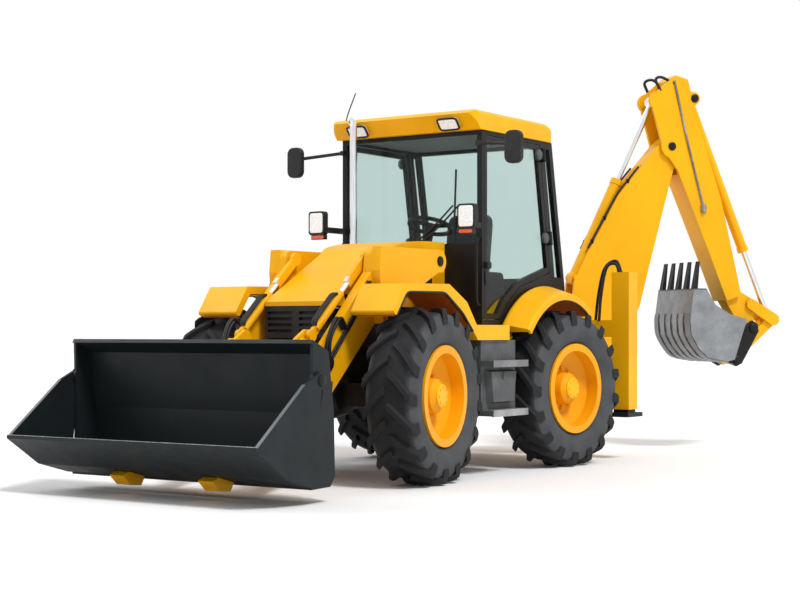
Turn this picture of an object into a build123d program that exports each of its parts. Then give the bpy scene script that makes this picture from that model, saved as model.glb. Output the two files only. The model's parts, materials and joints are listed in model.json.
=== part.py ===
from build123d import *
import os
from math import cos, hypot, radians, sin

# A four-wheel-steer backhoe loader, in millimetres.
# X points forward, Y to the left and Z up; the origin is on the ground under the rear axle.

# Fits
RUN = 0.3           # gap between a pin and its bore, or a piece and its seat
GAP = 6.0           # gap beside a piece that moves

# Wheels and axles
WHEELBASE = 2220.0
TYRE_R = 695.0
TYRE_W = 430.0
TRACK_Y = 940.0     # middle of a tyre when it points straight ahead
KINGPIN_Y = 760.0
FRONT_STEER = 8.0   # turn of the front wheels as parked
REAR_STEER = -6.0   # turn of the rear wheels as parked
SEAT_R = 362.0      # bead seat of the rim
FLANGE_R = 398.0
FLANGE_W = 20.0
RIM_WALL = 26.0
DISC_OUT = 170.0    # inner face of the wheel disc, measured out from the kingpin
DISC_T = 24.0
HUB_R = 150.0
HUB_OUT = 330.0     # outer face of the hub cap, measured out from the kingpin
SPINDLE_R = 60.0
SPINDLE_L = 90.0
KNUCKLE_R = 70.0
KNUCKLE_H = 125.0   # half height between the axle lugs
LUG_T = 40.0
KINGPIN_R = 28.0
HOUSING_R = 130.0
HOUSING_IN = 82.0   # inner face of the hub housing, measured out from the kingpin
BEAM_W = 170.0
BEAM_H = 190.0
BEAM_END = 640.0
DIFF_R = 200.0

# Frame
RAIL_IN = 210.0
RAIL_OUT = 290.0
RAIL_LOW = 860.0
RAIL_TOP = 1060.0
FRAME_BACK = -900.0
FRAME_FRONT = 2480.0
CROSS_W = 80.0
NOSE_X = 2600.0
NOSE_HALF = 300.0
GRILLE_X = 2640.0
GRILLE_LOW = 1150.0
GRILLE_HALF = 318.0
GRILLE_PITCH = 48.0
GRILLE_SLOT = 250.0
GRILLE_DEPTH = 25.0
ENGINE_BACK = 1480.0
ENGINE_FRONT = 2280.0
ENGINE_TOP = 1390.0
ENGINE_HALF = 285.0
POST_XS = (-150.0, 850.0)

# Loader
ARM_PIVOT = (1400.0, 1790.0)
LIFT_PIN = (2187.0, 1489.0)
CROWD_PIN = (2185.0, 1801.0)
BUCKET_PIN = (3560.0, 185.0)
CRANK_PIN = (2850.0, 960.0)
CRANK_TOP = (2895.0, 1170.0)
BUCKET_TOP_PIN = (3580.0, 334.0)
LIFT_BASE = (1500.0, 700.0)
ARM_IN = 400.0
ARM_MID = 480.0     # joint between the front arm box and the rear arm plate
ARM_OUT = 565.0
TOWER_IN = 402.0
TOWER_OUT = 422.0
LIFT_Y = 462.0      # plane of the lift rams
LIFT_R = 36.0
LIFT_ROD_R = 24.0
LIFT_EYE = 18.0
LIFT_POCKET = 46.0  # half width of the slot in the arm round the lift ram
LIFT_BARREL = 920.0
LIFT_SWEEP = 105.0  # radius of the pocket in the arm round the rod's eye
CRANK_LOW_PIN = (3000.0, 1107.0)
LINK_Y = 358.0      # plane of the crowd rams and tipping links
LINK_HALF = 18.0
CRANK_IN = 284.0
CRANK_OUT = 318.0
CROWD_R = 34.0
CROWD_ROD_R = 22.0
CROWD_EYE_BLOCK = 340.0
CROWD_BARREL = 500.0
CROWD_ROD_END = 825.0
CROWD_NECK = 70.0
CROSS_TUBE = (2960.0, 680.0)
CROSS_TUBE_R = 60.0
LOADER_PIN_R = 26.0
ARM_PIN_R = 40.0

# Hood
HOOD_T = 22.0
HOOD_NOSE = 2640.0
HOOD_BACK = 1020.0
HOOD_LOW = 1405.0
GRILLE_TOP = HOOD_LOW - RUN
HOOD_CREST = (1900.0, 1855.0)
HOOD_TOP = 1972.0
HOOD_NOSE_TOP = 1440.0
HOOD_FRONT_HALF = 312.0
HOOD_BACK_HALF = 364.0
HOOD_STEP = 1900.0  # where the hood starts to widen towards the cab
HOOD_FLARE = 120.0

# Exhaust
EXHAUST = (1235.0, -455.0)
EXHAUST_R = 33.0
EXHAUST_WALL = 5.0
EXHAUST_TOP = 3010.0
EXHAUST_BEND = 60.0   # radius of the bent tip
EXHAUST_TURN = 65.0   # how far the tip turns outward

# Cab
CAB_FRONT = 1012.0
CAB_OUT = 740.0
CAB_WALL = 50.0
CAB_FLOOR = 1200.0
FLOOR_T = 50.0
CAB_TOP = 2925.0
CAB_INNER = 500.0   # half width between the wheel houses
CAB_BACK_TOP = -200.0
CAB_BACK_LOW = -450.0
CAB_BACK_Z = 1600.0
DOOR_GAP = 6.0
DOOR_T = 44.0
DOOR_FRAME = 46.0
DOOR_FRONT = 975.0
DOOR_LOW = 1310.0
DOOR_TOP = 2885.0
HINGE_LOW = (-136.0, 2051.0)
HINGE_HIGH = (-12.0, 2797.0)
GLASS_T = 8.0
FENDER_IN_R = 815.0
FENDER_OUT_R = 868.0
FENDER_OUT_Y = 1005.0
FENDER_CROWN_R = 930.0  # top of a rear fender beside the cab
FENDER_EDGE_R = 850.0   # top of its outer edge
FENDER_LIP = 26.0
FENDER_ROUND = 40.0
ROOF_TOP = 3090.0
ROOF_OUT = 762.0
ROOF_T = 60.0
ROOF_BACK = -225.0
ROOF_BEND = -60.0
ROOF_ROUND = 45.0
ROOF_CORNER = 110.0
ROOF_SPARE = 20.0   # reach of the rounded plan past the roof's ends
ROOF_EDGE = 90.0     # width of the roof's solid edge round its hollow
VISOR_LIP = 70.0
VISOR_LOW = (1068.0, CAB_TOP)
VISOR_TOP = (1180.0, 3055.0)
SEAT_Z = 1600.0
COLUMN_L = 470.0
WHEEL_RING_R = 190.0
REAR_FENDER = (38.0, 128.0)
FRONT_FENDER_IN = 580.0
FRONT_FENDER_OUT = 985.0
SILL_BACK = 965.0
SILL_TOP = 1255.0
STEP_BACK = 830.0
STEP_FRONT = 1390.0
STEP_TOP = 1130.0
TREAD_ZS = (950.0, 540.0)
LAMP_ROUND = 28.0
MIRROR_ROUND = 60.0

# Clam bucket
BUCKET_HALF = 1192.0
CLAM_WALL = 32.0
END_PLATE = 24.0
CLAM_PIN = (3853.0, 859.0)

# Rear frame and backhoe
FRAME_D = 180.0
COLUMN_W = 180.0
COLUMN_OUT = 1175.0
COLUMN_LOW = 470.0
COLUMN_TOP = 1760.0
COLUMN_WALL = 14.0
LEG_FOOT = 400.0    # underside of a raised stabiliser foot
LEG_TOP = 1500.0
LEG_FIT = 0.5
BEAM_TOP_Z = 1150.0
BEAM_LOW_Z = 480.0
HOE_BEAM = 160.0
WEB_HALF = 600.0
CARRIAGE_FIT = 0.5
CARRIAGE_T = 110.0
CARRIAGE_HALF = 330.0
KING_LOW = 640.0
KING_TOP = 1150.0
SLEW_LUG = 80.0
SLEW_R = 110.0
SLEW_PIN_R = 55.0
KING_LUG = 40.0
RAM_LUG_IN = 52.0
RAM_LUG_OUT = 69.0
NOSE_W = 80.0
BUCKET_LUG_IN = 60.0
BUCKET_RAM_POCKET = 95.0
LEVER_PIN_R = 30.0
DIG_LINK_IN = 46.0
SLEW_X = -1360.0
SLEW = 36.0         # turn of the boom to the left as parked
BOOM_FOOT = (330.0, 900.0)
BOOM_RAM_BASE = (285.0, 1110.0)
BOOM_RAM_EYE = (830.0, 1900.0)
DIPPER_PIN = (1378.0, 3097.0)
DIPPER_RAM_BASE = (330.0, 1739.0)
DIPPER_RAM_EYE = (1218.0, 3558.0)
BUCKET_RAM_BASE = (1640.0, 3600.0)
LEVER_PIN = (2330.0, 1490.0)
LEVER_END = (2600.0, 1330.0)
DIG_PIN = (2300.0, 1241.0)
DIG_LINK_PIN = (2110.0, 905.0)
FORK_IN = 75.0
BOOM_HALF = 100.0
DIPPER_HALF = 140.0
DIG_HALF = 375.0
HOE_PIN_R = 36.0


def side_plane(y):
    """Upright lengthwise plane; a positive extrusion runs towards -Y."""
    return Plane(origin=(0, y, 0), x_dir=(1, 0, 0), z_dir=(0, -1, 0))


def hoe_plane(w=0.0):
    """Upright plane of the slewed boom, w to its left: local x runs outward and local y up."""
    out = Vector(-cos(radians(SLEW)), sin(radians(SLEW)), 0)
    left = Vector(sin(radians(SLEW)), cos(radians(SLEW)), 0)
    return Plane(origin=Vector(SLEW_X, 0, 0) + left * w, x_dir=out, z_dir=left)


def wheel_plane(axle_x, side, steer):
    """Plane through a kingpin: local x runs out along the wheel's axis and local y up."""
    turn = radians(steer)
    out = Vector(-side * sin(turn), side * cos(turn), 0)
    return Plane(origin=(axle_x, side * KINGPIN_Y, TYRE_R), x_dir=out, z_dir=out.cross(Vector(0, 0, 1)))


def outline(points):
    """Straight-sided face in the sketch at hand."""
    Polygon(*points, align=None)


def discs_hull(*discs):
    """Plate drawn tightly round some discs, each (x, y, radius)."""
    for x, y, radius in discs:
        with Locations((x, y)):
            Circle(radius)
    make_hull()


def block(low, high):
    """Box between two corners, added to the part at hand."""
    size = [b - a for a, b in zip(low, high)]
    middle = tuple((a + b) / 2 for a, b in zip(low, high))
    with Locations(middle):
        Box(*size)


def both_sides(part):
    """A left-hand piece and its mirror image as one part."""
    with BuildPart() as pair:
        add(part)
        mirror(about=Plane.XZ)
    return pair.part


def mirrored(part):
    """The right-hand twin of a left-hand piece."""
    with BuildPart() as twin:
        add(part)
        mirror(about=Plane.XZ, mode=Mode.REPLACE)
    return twin.part


def save(part, name):
    part.label = name
    export_step(part, "parts/" + name + ".step")


def ram_axis(plane, base, eye):
    """Plane at a ram's base pin whose normal points at its rod eye."""
    start = plane.from_local_coords(Vector(*base, 0))
    end = plane.from_local_coords(Vector(*eye, 0))
    return Plane(origin=start, x_dir=plane.z_dir, z_dir=end - start)


def ram_length(base, eye):
    return hypot(eye[0] - base[0], eye[1] - base[1])


def ram_barrel(plane, base, eye, barrel_r, rod_r, length, half, pin_r):
    """Ram tube with its base eye; the bore runs from the gland to near the base."""
    axis = ram_axis(plane, base, eye)
    foot = barrel_r * 1.15
    with BuildPart() as barrel:
        with BuildSketch(Plane(origin=axis.origin, x_dir=axis.z_dir, z_dir=plane.z_dir)):
            Circle(foot)
        extrude(amount=half, both=True)
        with BuildSketch(axis):
            Circle(barrel_r)
        extrude(amount=length)
        with BuildSketch(axis.offset(length - barrel_r)):
            Circle(barrel_r * 1.12)
        extrude(amount=barrel_r)
        with BuildSketch(axis.offset(foot + 20)):
            Circle(rod_r + RUN)
        extrude(amount=length, mode=Mode.SUBTRACT)
        with BuildSketch(Plane(origin=axis.origin, x_dir=axis.z_dir, z_dir=plane.z_dir)):
            Circle(pin_r + RUN)
        extrude(amount=max(half, barrel_r), both=True, mode=Mode.SUBTRACT)
    return barrel.part


def ram_rod(plane, base, eye, rod_r, inside, eye_r, half):
    """Ram rod that reaches back into its tube, with the eye at its outer end."""
    axis = ram_axis(plane, base, eye)
    reach = ram_length(base, eye)
    with BuildPart() as rod:
        with BuildSketch(axis.offset(inside)):
            Circle(rod_r)
        extrude(amount=reach - inside)
        with BuildSketch(Plane(origin=axis.offset(reach).origin, x_dir=axis.z_dir, z_dir=plane.z_dir)):
            Circle(eye_r)
        extrude(amount=half, both=True)
    return rod.part


os.makedirs("parts", exist_ok=True)

# Wheels: tyre, rim with hub, and the knuckle that carries them
TYRE_IN = TRACK_Y - KINGPIN_Y
RIM_HALF = 190.0


def make_tyre(plane):
    half = TYRE_W / 2
    bead = RIM_HALF - FLANGE_W
    with BuildPart() as tyre:
        with BuildSketch(plane):
            with BuildLine():
                Polyline(
                    (TYRE_IN - bead, SEAT_R),
                    (TYRE_IN - bead, FLANGE_R + 4),
                    (TYRE_IN - half, FLANGE_R + 90),
                    (TYRE_IN - half, TYRE_R - 70),
                    (TYRE_IN - half + 28, TYRE_R),
                    (TYRE_IN + half - 28, TYRE_R),
                    (TYRE_IN + half, TYRE_R - 70),
                    (TYRE_IN + half, FLANGE_R + 90),
                    (TYRE_IN + bead, FLANGE_R + 4),
                    (TYRE_IN + bead, SEAT_R),
                    close=True,
                )
            make_face()
        revolve(axis=Axis(plane.origin, plane.x_dir))
    return tyre.part


def make_rim(plane):
    inner, outer = TYRE_IN - RIM_HALF, TYRE_IN + RIM_HALF
    well = SEAT_R - RIM_WALL
    with BuildPart() as rim:
        with BuildSketch(plane):
            with BuildLine():
                Polyline(
                    (inner, well),
                    (inner, FLANGE_R),
                    (inner + FLANGE_W, FLANGE_R),
                    (inner + FLANGE_W, SEAT_R),
                    (outer - FLANGE_W, SEAT_R),
                    (outer - FLANGE_W, FLANGE_R),
                    (outer, FLANGE_R),
                    (outer, well),
                    (DISC_OUT + DISC_T + 60, well),
                    (DISC_OUT + DISC_T, HUB_R + 60),
                    (DISC_OUT + DISC_T, HUB_R),
                    (HUB_OUT - 40, HUB_R - 16),
                    (HUB_OUT - 12, HUB_R - 50),
                    (HUB_OUT, HUB_R - 70),
                    (HUB_OUT, 0),
                    (DISC_OUT + SPINDLE_L + 6, 0),
                    (DISC_OUT + SPINDLE_L + 6, SPINDLE_R + RUN),
                    (DISC_OUT, SPINDLE_R + RUN),
                    (DISC_OUT, HUB_R + 50),
                    (DISC_OUT + 40, well),
                    close=True,
                )
            make_face()
        revolve(axis=Axis(plane.origin, plane.x_dir))
    return rim.part


def make_knuckle(plane):
    post = Plane(origin=plane.origin, x_dir=plane.x_dir, z_dir=(0, 0, 1))
    with BuildPart() as knuckle:
        with BuildSketch(post):
            Circle(KNUCKLE_R)
        extrude(amount=KNUCKLE_H - RUN, both=True)
        with BuildSketch(post):
            Circle(KINGPIN_R)
        extrude(amount=KNUCKLE_H + LUG_T, both=True)
        with BuildSketch(post):
            with Locations((HOUSING_IN / 2 + 4, 0)):
                Rectangle(HOUSING_IN, KNUCKLE_R * 2)
        extrude(amount=KNUCKLE_H - 20, both=True)
        with BuildSketch(plane):
            with BuildLine():
                Polyline(
                    (HOUSING_IN, 0),
                    (HOUSING_IN, HOUSING_R - 20),
                    (HOUSING_IN + 25, HOUSING_R),
                    (DISC_OUT - RUN, HOUSING_R),
                    (DISC_OUT - RUN, SPINDLE_R),
                    (DISC_OUT + SPINDLE_L, SPINDLE_R),
                    (DISC_OUT + SPINDLE_L, 0),
                    close=True,
                )
            make_face()
        revolve(axis=Axis(plane.origin, plane.x_dir))
    return knuckle.part


def make_axle(axle_x):
    """Axle beam with its differential and the forked ends that hold the kingpins."""
    with BuildPart() as axle:
        block((axle_x - BEAM_W / 2, -BEAM_END, TYRE_R - BEAM_H / 2), (axle_x + BEAM_W / 2, BEAM_END, TYRE_R + BEAM_H / 2))
        with BuildSketch(Plane(origin=(axle_x, 0, TYRE_R), x_dir=(0, 1, 0), z_dir=(1, 0, 0))):
            with BuildLine():
                Polyline((-DIFF_R * 1.3, 0), (-DIFF_R, DIFF_R * 0.8), (-DIFF_R * 0.4, DIFF_R), close=False)
                Line((-DIFF_R * 0.4, DIFF_R), (DIFF_R * 0.4, DIFF_R))
                Polyline((DIFF_R * 0.4, DIFF_R), (DIFF_R, DIFF_R * 0.8), (DIFF_R * 1.3, 0), close=False)
                Line((DIFF_R * 1.3, 0), (-DIFF_R * 1.3, 0))
            make_face()
        revolve(axis=Axis((axle_x, 0, TYRE_R), (0, 1, 0)))
        for level in (TYRE_R + KNUCKLE_H, TYRE_R - KNUCKLE_H - LUG_T):
            for side in (-1, 1):
                with BuildSketch(Plane.XY.offset(level)):
                    discs_hull(
                        (axle_x, side * KINGPIN_Y, KNUCKLE_R),
                        (axle_x - 40, side * (BEAM_END - 60), 45),
                        (axle_x + 40, side * (BEAM_END - 60), 45),
                    )
                extrude(amount=LUG_T)
                with BuildSketch(Plane.XY.offset(level)):
                    with Locations((axle_x, side * KINGPIN_Y)):
                        Circle(KINGPIN_R + RUN)
                extrude(amount=LUG_T, mode=Mode.SUBTRACT)
        for side in (-1, 1):
            ends = sorted((side * (BEAM_END - 100), side * (BEAM_END - 20)))
            low = TYRE_R - KNUCKLE_H - LUG_T
            high = TYRE_R + KNUCKLE_H + LUG_T
            block((axle_x - 80, ends[0], low), (axle_x + 80, ends[1], high))
        if axle_x > 0:
            block((axle_x - 110, -RAIL_OUT, TYRE_R + BEAM_H / 2 - 10), (axle_x + 110, RAIL_OUT, RAIL_LOW))
        else:
            for side in (-1, 1):
                ends = sorted((side * RAIL_IN, side * RAIL_OUT))
                block((axle_x - 110, ends[0], TYRE_R), (axle_x + 110, ends[1], RAIL_LOW))
    return axle.part


# Frame with the loader towers
with BuildPart() as chassis_frame:
    for side in (-1, 1):
        ends = sorted((side * RAIL_IN, side * RAIL_OUT))
        block((FRAME_BACK, ends[0], RAIL_LOW), (FRAME_FRONT, ends[1], RAIL_TOP))
        for post_x in POST_XS:
            block((post_x - 60, ends[0], RAIL_TOP), (post_x + 60, ends[1], CAB_FLOOR))
        steps = sorted((side * RAIL_OUT, side * TOWER_OUT))
        block((900, steps[0], 880), (1200, steps[1], 1000))
        block((1290, steps[0], 880), (1470, steps[1], RAIL_TOP))
        tower_y = TOWER_OUT if side > 0 else -TOWER_IN
        with BuildSketch(side_plane(tower_y)):
            outline([(1290, 880), (1430, 650), (1570, 650), (1580, 760), (1500, 1000), (1495, 1790), (1305, 1790)])
            with Locations(ARM_PIVOT):
                Circle(95)
        extrude(amount=TOWER_OUT - TOWER_IN)
        pin_y = ARM_OUT + 4 if side > 0 else -TOWER_IN
        with BuildSketch(side_plane(pin_y)):
            with Locations(ARM_PIVOT):
                Circle(ARM_PIN_R)
        extrude(amount=ARM_OUT + 4 - TOWER_IN)
        base_y = LIFT_Y + LIFT_EYE if side > 0 else -TOWER_IN
        with BuildSketch(side_plane(base_y)):
            with Locations(LIFT_BASE):
                Circle(LOADER_PIN_R)
        extrude(amount=LIFT_Y + LIFT_EYE - TOWER_IN)
        boss_y = ARM_MID - GAP if side > 0 else -TOWER_IN
        with BuildSketch(side_plane(boss_y)):
            with Locations(ARM_PIVOT):
                Circle(ARM_PIN_R + 30)
        extrude(amount=ARM_MID - GAP - TOWER_IN)
    for cross_x in (FRAME_BACK + CROSS_W / 2, 500, 1380, FRAME_FRONT - CROSS_W / 2):
        block((cross_x - CROSS_W / 2, -RAIL_IN, RAIL_LOW + 30), (cross_x + CROSS_W / 2, RAIL_IN, RAIL_TOP - 30))
    block((FRAME_FRONT - 60, -NOSE_HALF, 820), (NOSE_X, NOSE_HALF, GRILLE_LOW))
save(chassis_frame.part, "chassis_frame")

with BuildPart() as engine_block:
    block((ENGINE_BACK, -ENGINE_HALF, RAIL_TOP), (ENGINE_FRONT, ENGINE_HALF, ENGINE_TOP))
save(engine_block.part, "engine_block")

with BuildPart() as grille:
    block((NOSE_X - 40, -GRILLE_HALF, GRILLE_LOW), (GRILLE_X, GRILLE_HALF, GRILLE_TOP))
    grille_middle = (GRILLE_X, 0, (GRILLE_LOW + GRILLE_TOP) / 2)
    with BuildSketch(Plane(origin=grille_middle, x_dir=(0, 1, 0), z_dir=(1, 0, 0))):
        with GridLocations(GRILLE_HALF, GRILLE_PITCH, 2, 4):
            SlotOverall(GRILLE_SLOT, GRILLE_PITCH / 2)
    extrude(amount=-GRILLE_DEPTH, mode=Mode.SUBTRACT)
    fillet(grille.edges().filter_by(Axis.Z).group_by(Axis.X)[-1], 20)
save(grille.part, "grille")

save(make_axle(WHEELBASE), "front_axle")
save(make_axle(0.0), "rear_axle")

for axle_name, axle_x, steer in (("front", WHEELBASE, FRONT_STEER), ("rear", 0.0, REAR_STEER)):
    for side_name, side in (("left", 1), ("right", -1)):
        where = wheel_plane(axle_x, side, steer)
        save(make_knuckle(where), "knuckle_" + axle_name + "_" + side_name)
        save(make_rim(where), "rim_" + axle_name + "_" + side_name)
        save(make_tyre(where), "tyre_" + axle_name + "_" + side_name)

# Hood, a hollow shell hinged at its nose
def hood_form(inset):
    """The hood's side outline cut to its plan, drawn in by the inset."""
    front = HOOD_FRONT_HALF - inset
    back = HOOD_BACK_HALF - inset
    with BuildPart() as form:
        with BuildSketch(side_plane(0)):
            with BuildLine():
                base = Polyline(
                    (HOOD_BACK, HOOD_TOP - inset),
                    (HOOD_BACK, HOOD_LOW),
                    (HOOD_NOSE - inset, HOOD_LOW),
                    (HOOD_NOSE - inset, HOOD_NOSE_TOP - inset),
                )
                slope = Line(base @ 1, (HOOD_CREST[0] - inset / 2, HOOD_CREST[1] - inset))
                Spline(slope @ 1, base @ 0, tangents=(slope % 1, (-1, 0)))
            make_face()
        extrude(amount=HOOD_BACK_HALF, both=True)
        with BuildSketch(Plane.XY.offset(HOOD_LOW)):
            outline([
                (HOOD_NOSE, -front),
                (HOOD_NOSE, front),
                (HOOD_STEP, front),
                (HOOD_STEP - HOOD_FLARE, back),
                (HOOD_BACK, back),
                (HOOD_BACK, -back),
                (HOOD_STEP - HOOD_FLARE, -back),
                (HOOD_STEP, -front),
            ])
        extrude(amount=HOOD_TOP - HOOD_LOW, mode=Mode.INTERSECT)
    return form.part


hood_outside = hood_form(0.0)
hood_inside = hood_form(HOOD_T)
with BuildPart() as hood:
    add(hood_outside)
    add(hood_inside, mode=Mode.SUBTRACT)
save(hood.part, "hood")

bend_middle = Vector(*EXHAUST, EXHAUST_TOP) + Vector(1, -1, 0).normalized() * EXHAUST_BEND
bend_axis = Axis(bend_middle, (1, 1, 0))
with BuildPart() as exhaust_stack:
    with BuildSketch(Plane.XY.offset(STEP_TOP)):
        with Locations(EXHAUST):
            Circle(EXHAUST_R)
    extrude(amount=EXHAUST_TOP - STEP_TOP)
    with BuildSketch(Plane.XY.offset(EXHAUST_TOP)):
        with Locations(EXHAUST):
            Circle(EXHAUST_R)
            Circle(EXHAUST_R - EXHAUST_WALL, mode=Mode.SUBTRACT)
    revolve(axis=bend_axis, revolution_arc=EXHAUST_TURN)
save(exhaust_stack.part, "exhaust_stack")

# Cab: floor, side frames with door and quarter windows cut, firewall, rear panel
hinge_run = Vector(HINGE_HIGH[0] - HINGE_LOW[0], 0, HINGE_HIGH[1] - HINGE_LOW[1]).normalized()
HINGE_Y = CAB_OUT + 24.0
HINGE_R = 18.0
HINGE_L = 70.0
HINGE_PIN_R = 9.0


def door_edge(z):
    """Lengthwise place of the door's slanted rear edge at a height."""
    slope = (HINGE_HIGH[0] - HINGE_LOW[0]) / (HINGE_HIGH[1] - HINGE_LOW[1])
    return HINGE_LOW[0] + slope * (z - HINGE_LOW[1]) + HINGE_R + 4


def door_points(grow):
    """Outline of the left door, grown outward by a gap or drawn in by a frame's width."""
    return [
        (DOOR_FRONT + grow, DOOR_LOW - grow),
        (720 - grow, DOOR_LOW - grow),
        (610 - grow, 1440 - grow),
        (380 - grow * 0.5, 1600 - grow),
        (door_edge(1760) - grow, 1740 - grow),
        (door_edge(DOOR_TOP) - grow, DOOR_TOP + grow),
        (DOOR_FRONT + grow, DOOR_TOP + grow),
    ]


def quarter_points(grow):
    """Outline of the window behind the door."""
    return [
        (-62 - grow, 2860 - grow),
        (-150 + grow, 2860 - grow),
        (-378 + grow, 1700 + grow),
        (-258 - grow, 1700 + grow),
    ]


def hinge_plane(place):
    return Plane(origin=(place[0], HINGE_Y, place[1]), x_dir=(0, 1, 0), z_dir=hinge_run)


with BuildPart() as cab_side:
    with BuildSketch(side_plane(CAB_OUT)):
        with BuildLine():
            reach = FENDER_OUT_R + RUN
            arc = CenterArc((0, TYRE_R), reach, 36, 84)
            Polyline(
                arc @ 0,
                (728, CAB_FLOOR),
                (CAB_FRONT, CAB_FLOOR),
                (CAB_FRONT, CAB_TOP),
                (CAB_BACK_TOP, CAB_TOP),
                (CAB_BACK_LOW, CAB_BACK_Z),
                arc @ 1,
            )
        make_face()
    extrude(amount=CAB_WALL)
    with BuildSketch(side_plane(CAB_OUT)):
        outline(door_points(DOOR_GAP))
        outline(quarter_points(0))
    extrude(amount=CAB_WALL, mode=Mode.SUBTRACT)
    for place in (HINGE_LOW, HINGE_HIGH):
        for end in (-1, 1):
            with BuildSketch(hinge_plane(place).offset(end * (HINGE_L / 2 + 14))):
                Circle(HINGE_R)
            extrude(amount=13, both=True)
            with BuildSketch(hinge_plane(place).offset(end * (HINGE_L / 2 + 14))):
                with Locations((-31, 8)):
                    Rectangle(66, 30)
            extrude(amount=13, both=True)
        with BuildSketch(hinge_plane(place)):
            Circle(HINGE_PIN_R)
        extrude(amount=HINGE_L / 2 + 14, both=True)

cab_sides = both_sides(cab_side.part)
with BuildPart() as cab_frame:
    add(cab_sides)
    inside = CAB_OUT - CAB_WALL
    block((-300, -CAB_INNER, CAB_FLOOR), (CAB_FRONT, CAB_INNER, CAB_FLOOR + FLOOR_T))
    block((740, -inside, CAB_FLOOR), (CAB_FRONT, inside, CAB_FLOOR + FLOOR_T))
    block((CAB_FRONT - 50, -inside, CAB_FLOOR), (CAB_FRONT, inside, 1960))
    block((CAB_FRONT - 50, -inside, DOOR_TOP), (CAB_FRONT, inside, CAB_TOP))
    block((CAB_BACK_TOP + 12, -inside, DOOR_TOP), (CAB_BACK_TOP + 62, inside, CAB_TOP))
    with BuildSketch(side_plane(CAB_INNER)):
        outline([(-300, CAB_FLOOR), (-250, CAB_FLOOR), (-395, CAB_BACK_Z), (-445, CAB_BACK_Z)])
    extrude(amount=CAB_INNER * 2)
    with BuildSketch(side_plane(inside)):
        outline([
            (CAB_BACK_LOW, CAB_BACK_Z - 20),
            (CAB_BACK_LOW + 60, CAB_BACK_Z - 20),
            (CAB_BACK_LOW + 80, CAB_BACK_Z + 100),
            (CAB_BACK_LOW + 20, CAB_BACK_Z + 100),
        ])
    extrude(amount=inside * 2)
save(cab_frame.part, "cab_frame")

with BuildPart() as cab_roof:
    with BuildSketch(side_plane(ROOF_OUT)):
        with BuildLine():
            visor_line = Polyline(VISOR_LOW, VISOR_TOP, (VISOR_TOP[0] - VISOR_LIP, ROOF_TOP))
            crown = Line(visor_line @ 1, (ROOF_BEND, ROOF_TOP))
            tail = TangentArc(crown @ 1, (ROOF_BACK, CAB_TOP + ROOF_T), tangent=(-1, 0))
            Polyline(tail @ 1, (ROOF_BACK, CAB_TOP), VISOR_LOW)
        make_face()
    extrude(amount=ROOF_OUT * 2)
    fillet(cab_roof.edges().filter_by(Axis.X).group_by(Axis.Z)[-1], ROOF_ROUND)
    with BuildSketch(Plane.XY.offset(CAB_TOP)):
        with Locations(((VISOR_TOP[0] + ROOF_BACK) / 2, 0)):
            RectangleRounded(VISOR_TOP[0] - ROOF_BACK + ROOF_SPARE, 2 * ROOF_OUT, ROOF_CORNER)
    extrude(amount=ROOF_TOP - CAB_TOP + ROOF_SPARE, mode=Mode.INTERSECT)
    with BuildSketch(Plane.XY.offset(CAB_TOP)):
        with Locations(((CAB_FRONT + CAB_BACK_TOP) / 2, 0)):
            Rectangle(CAB_FRONT - CAB_BACK_TOP - 2 * ROOF_EDGE, 2 * (ROOF_OUT - ROOF_EDGE))
    extrude(amount=ROOF_TOP - CAB_TOP - ROOF_T, mode=Mode.SUBTRACT)
save(cab_roof.part, "cab_roof")

with BuildPart() as cab_glass:
    inside = CAB_OUT - CAB_WALL
    block((CAB_FRONT - 30, -inside, 1960), (CAB_FRONT - 30 + GLASS_T, inside, DOOR_TOP))
    with BuildSketch(side_plane(CAB_OUT - 20)):
        outline(quarter_points(0))
    extrude(amount=GLASS_T)
    with BuildSketch(side_plane(-CAB_OUT + 20 + GLASS_T)):
        outline(quarter_points(0))
    extrude(amount=GLASS_T)
    with BuildSketch(side_plane(inside)):
        outline([(-400, CAB_BACK_Z + 100), (-392, CAB_BACK_Z + 100), (-172, DOOR_TOP), (-180, DOOR_TOP)])
    extrude(amount=inside * 2)
save(cab_glass.part, "cab_glass")

# Doors, hung on slanted hinges at their rear edge
with BuildPart() as door_frame_left:
    with BuildSketch(side_plane(CAB_OUT)):
        outline(door_points(0))
    extrude(amount=DOOR_T)
    with BuildSketch(side_plane(CAB_OUT)):
        outline(door_points(-DOOR_FRAME))
    extrude(amount=DOOR_T, mode=Mode.SUBTRACT)
    for place in (HINGE_LOW, HINGE_HIGH):
        with BuildSketch(hinge_plane(place)):
            Circle(HINGE_R)
            with Locations((-13, -38)):
                Rectangle(22, 76)
            with Locations((-27, -51)):
                Rectangle(14, 50)
        extrude(amount=HINGE_L / 2, both=True)
        with BuildSketch(hinge_plane(place)):
            Circle(HINGE_PIN_R + RUN)
        extrude(amount=HINGE_L / 2, both=True, mode=Mode.SUBTRACT)
with BuildPart() as door_glass_left:
    with BuildSketch(side_plane(CAB_OUT - 18)):
        outline(door_points(-DOOR_FRAME))
    extrude(amount=GLASS_T)
save(door_frame_left.part, "door_frame_left")
save(mirrored(door_frame_left.part), "door_frame_right")
save(door_glass_left.part, "door_glass_left")
save(mirrored(door_glass_left.part), "door_glass_right")

# Driver's place, seen through the glass
with BuildPart() as driver_seat:
    block((150, -150, CAB_FLOOR + FLOOR_T), (420, 150, SEAT_Z))
    block((40, -250, SEAT_Z), (540, 250, SEAT_Z + 120))
    with BuildSketch(side_plane(240)):
        outline([(40, SEAT_Z + 60), (150, SEAT_Z + 60), (70, SEAT_Z + 700), (-30, SEAT_Z + 700)])
    extrude(amount=480)
    fillet(driver_seat.edges().filter_by(Axis.Y), 25)
save(driver_seat.part, "driver_seat")

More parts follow.
